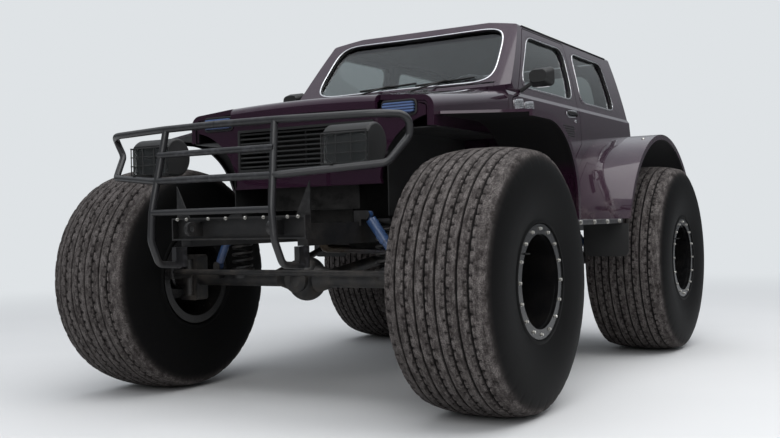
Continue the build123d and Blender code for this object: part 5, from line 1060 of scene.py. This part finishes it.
def with_cloth(made, most):
    """The pad blown up as cloth without weight, and kept as its mesh: each point moves the way that the
    cloth went, no further than most."""
    scene = bpy.context.scene
    start = np.empty(len(made.data.vertices) * 3)
    cloth = made.modifiers.new("filling", "CLOTH")
    for setting, value in CLOTH.items():
        setattr(cloth.settings, setting, value)
    cloth.settings.effector_weights.gravity = 0
    cloth.point_cache.frame_start = 1
    cloth.point_cache.frame_end = CLOTH_FRAMES
    for moment in range(1, CLOTH_FRAMES + 1):
        scene.frame_set(moment)
    graph = bpy.context.evaluated_depsgraph_get()
    blown = np.empty_like(start)
    made.data.vertices.foreach_get("co", start)
    made.evaluated_get(graph).data.vertices.foreach_get("co", blown)
    made.modifiers.remove(cloth)
    scene.frame_set(1)
    move = (blown - start).reshape(-1, 3)
    far = np.linalg.norm(move, axis=1, keepdims=True)
    kept = start.reshape(-1, 3) + move * np.minimum(1.0, most / np.maximum(far, 1e-9))
    made.data.vertices.foreach_set("co", kept.reshape(-1))


PAD_START = 0.93
PAD_VOXEL = 0.0095
PAD_MOVE = 0.024
CHANNEL_DEPTH = 0.010
CHANNEL_WIDTH = 0.0085
SEAM_WIDTH = 0.006
SEAM_SHARE = 0.35


def pad(name, centre, half, lean, channels):
    """A crowned closed cushion, remeshed evenly, blown up as stuffed cloth, then sewn: points near each
    channel sink along the pad's own upward axis by a bell curve of their distance from its line, and a
    seam draws them in round the pad's edge."""
    turn = leaned(lean)
    form = pillow(centre, np.array(half) * PAD_START, turn, rows=26, columns=72, power=(0.42, 0.34))
    made = piece(name, form, "chassis", "seat_cloth", smooth=60)
    even_faces = made.modifiers.new("even", "REMESH")
    even_faces.mode = "VOXEL"
    even_faces.voxel_size = PAD_VOXEL
    graph = bpy.context.evaluated_depsgraph_get()
    evened = bpy.data.meshes.new_from_object(made.evaluated_get(graph))
    made.modifiers.clear()
    made.data = evened
    with_cloth(made, PAD_MOVE)
    points = np.empty(len(made.data.vertices) * 3)
    made.data.vertices.foreach_get("co", points)
    points = points.reshape(-1, 3)
    own = (points - centre) @ turn
    sink = np.zeros(len(points))
    for axis, line in channels:
        sink += np.exp(-(((own[:, axis] - line) / CHANNEL_WIDTH) ** 2))
    top = np.clip(own[:, 2] / half[2], 0, 1) ** 0.5
    edge = np.exp(-((own[:, 2] / SEAM_WIDTH) ** 2)) * SEAM_SHARE
    points -= np.outer(np.minimum(sink, 1) * top * CHANNEL_DEPTH, turn[:, 2])
    out = own * (1, 1, 0)
    out /= np.linalg.norm(out, axis=1, keepdims=True) + 1e-9
    points -= (out * (edge * CHANNEL_DEPTH)[:, None]) @ turn.T
    made.data.vertices.foreach_set("co", points.reshape(-1))
    made.data.polygons.foreach_set("use_smooth", np.ones(len(made.data.polygons), bool))
    finer = made.modifiers.new("finer", "SUBSURF")
    finer.levels = 1
    finer.render_levels = 1
    return made


SEAT_FLOOR = 0.9893
SEAT_Y = 0.350
BACK_LEAN = -76.5
BENCH_LEAN = -78
SEAT_LINES = [(0, -0.10), (0, 0.0), (0, 0.10), (1, -0.16), (1, 0.16)]
BACK_LINES = [(0, -0.09), (0, 0.03), (1, -0.155), (1, 0.155)]
BENCH_LINES = [(0, 0.0), (1, -0.24), (1, 0.0), (1, 0.24)]
BASE_WAIST = [1, 0.97, 0.93, 0.9, 0.9, 0.93, 0.97, 1]
for hand, side in SIDES.items():
    y = side * SEAT_Y
    pad(f"seat_cushion_{hand}", (-0.395, y, 1.258), (0.205, 0.235, 0.062), -4.5, SEAT_LINES)
    pad(f"seat_back_{hand}", (-0.713, y, 1.488), (0.180, 0.232, 0.040), BACK_LEAN, BACK_LINES)
    pad(f"head_rest_{hand}", (-0.767, y, 1.722), (0.050, 0.120, 0.034), BACK_LEAN, [])
    base_line = np.array([(-0.395, y, SEAT_FLOOR), (-0.395, y, 1.08), (-0.395, y, 1.205)])
    base = carried(even(base_line, 8), oval(0.40, 0.42, 40, 0.35), (0, 1.0, 0), scale=BASE_WAIST)
    posts = []
    for post_y in (y - 0.05, y + 0.05):
        post = [(-0.752, post_y, 1.655), (-0.766, post_y, 1.70)]
        posts.append(rod(post, 0.005, 8, 8, up=(0, 1, 0)))
    piece(f"seat_base_{hand}", joined([base] + posts), "chassis", "cabin_plastic")
pad("bench_cushion", (-1.232, 0, 1.262), (0.182, 0.465, 0.060), -3.5, BENCH_LINES)
pad("bench_back", (-1.520, 0, 1.505), (0.180, 0.465, 0.038), BENCH_LEAN, BENCH_LINES)
bench_line = np.array([(-1.235, 0, SEAT_FLOOR), (-1.235, 0, 1.10), (-1.235, 0, 1.21)])
bench = carried(even(bench_line, 6), oval(0.36, 0.90, 48, 0.3), (0, 1.0, 0))
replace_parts(piece("bench_base", bench, "chassis", "cabin_plastic"), "seats")

LEVER = [(-0.06, 0.02, 0.99), (-0.075, 0.02, 1.15), (-0.115, 0.03, 1.33)]
BOOT_PROFILE = [
    (0.075, 0.0),
    (0.062, 0.016),
    (0.058, 0.024),
    (0.046, 0.036),
    (0.043, 0.046),
    (0.014, 0.085),
]
lever = rod(LEVER, 0.008, 10, 24, up=(0, 1, 0))
knob = pillow((-0.118, 0.031, 1.345), (0.022, 0.022, 0.027), rows=14, columns=24, power=(0.9, 0.95))
boot = turned(BOOT_PROFILE, 32, (-0.06, 0.02, SEAT_FLOOR), (0, 0, 1))
piece("gear_lever", joined([lever, knob, boot]), "chassis", "cabin_plastic")


# Floor, light and camera

FLOOR_HALF = 40.0
floor_mesh = bpy.data.meshes.new("floor")
floor_corners = [(x * FLOOR_HALF, y * FLOOR_HALF, 0) for x, y in ((-1, -1), (1, -1), (1, 1), (-1, 1))]
floor_mesh.from_pydata(floor_corners, [], [(0, 1, 2, 3)])
floor = bpy.data.objects.new("floor", floor_mesh)
floor.data.materials.append(plain_floor())
bpy.context.scene.collection.objects.link(floor)


def lamp(name, place, target, size, power):
    """A square soft lamp at a place, turned to its target."""
    light = bpy.data.lights.new(name, "AREA")
    light.shape = "SQUARE"
    light.size = size
    light.energy = power
    holder = bpy.data.objects.new(name, light)
    holder.location = place
    holder.rotation_euler = (Vector(target) - Vector(place)).to_track_quat("-Z", "Y").to_euler()
    bpy.context.scene.collection.objects.link(holder)


lamp("sky_panel", (1.0, 2.0, 8.0), (0, 0, 0.5), 9.0, 540)
lamp("front_panel_light", (8.0, 3.0, 4.0), (0.5, 0, 1.0), 5.0, 240)
lamp("side_panel_light", (0.5, 7.0, 6.5), (-0.5, 0, 0.8), 4.0, 110)

# The sky lights the vehicle more from above than from its sides; the camera sees the plain background.
world = bpy.data.worlds.new("soft_sky")
bpy.context.scene.world = world
world.use_nodes = True
sky = world.node_tree
sky.nodes.clear()
seen = sky.nodes.new("ShaderNodeLightPath")
pale = sky.nodes.new("ShaderNodeBackground")
pale.inputs["Color"].default_value = colour(BACKGROUND)
pale.inputs["Strength"].default_value = 1.0
way = sky.nodes.new("ShaderNodeTexCoord")
split = sky.nodes.new("ShaderNodeSeparateXYZ")
rise = sky.nodes.new("ShaderNodeMapRange")
rise.interpolation_type = "SMOOTHSTEP"
for socket, value in {"From Min": 0.0, "From Max": 0.75, "To Min": 0.12, "To Max": 1.05}.items():
    rise.inputs[socket].default_value = value
light = sky.nodes.new("ShaderNodeBackground")
light.inputs["Color"].default_value = colour("#e6ebf1")
choose = sky.nodes.new("ShaderNodeMixShader")
result = sky.nodes.new("ShaderNodeOutputWorld")
sky.links.new(way.outputs["Generated"], split.inputs[0])
sky.links.new(split.outputs["Z"], rise.inputs["Value"])
sky.links.new(rise.outputs["Result"], light.inputs["Strength"])
sky.links.new(seen.outputs["Is Camera Ray"], choose.inputs[0])
sky.links.new(light.outputs[0], choose.inputs[1])
sky.links.new(pale.outputs[0], choose.inputs[2])
sky.links.new(choose.outputs[0], result.inputs[0])

CAMERA_PLACE = Vector((5.4545, 3.028, 0.9285))
CAMERA_YAW = math.radians(30.92)
CAMERA_PITCH = math.radians(0.15)
CAMERA_ROLL = math.radians(-1.3)
ahead = Vector((
    -math.cos(CAMERA_YAW) * math.cos(CAMERA_PITCH),
    -math.sin(CAMERA_YAW) * math.cos(CAMERA_PITCH),
    math.sin(CAMERA_PITCH),
))
level_right = ahead.cross(Vector((0, 0, 1))).normalized()
level_up = level_right.cross(ahead)
right = math.cos(CAMERA_ROLL) * level_right + math.sin(CAMERA_ROLL) * level_up
up = math.cos(CAMERA_ROLL) * level_up - math.sin(CAMERA_ROLL) * level_right
camera_data = bpy.data.cameras.new("camera")
camera_data.sensor_width = 36.0
camera_data.lens = 45.01
camera = bpy.data.objects.new("camera", camera_data)
bpy.context.scene.collection.objects.link(camera)
camera.matrix_world = Matrix((
    (right.x, up.x, -ahead.x, CAMERA_PLACE.x),
    (right.y, up.y, -ahead.y, CAMERA_PLACE.y),
    (right.z, up.z, -ahead.z, CAMERA_PLACE.z),
    (0, 0, 0, 1),
))
bpy.context.scene.camera = camera
bpy.context.scene.view_settings.view_transform = "Standard"
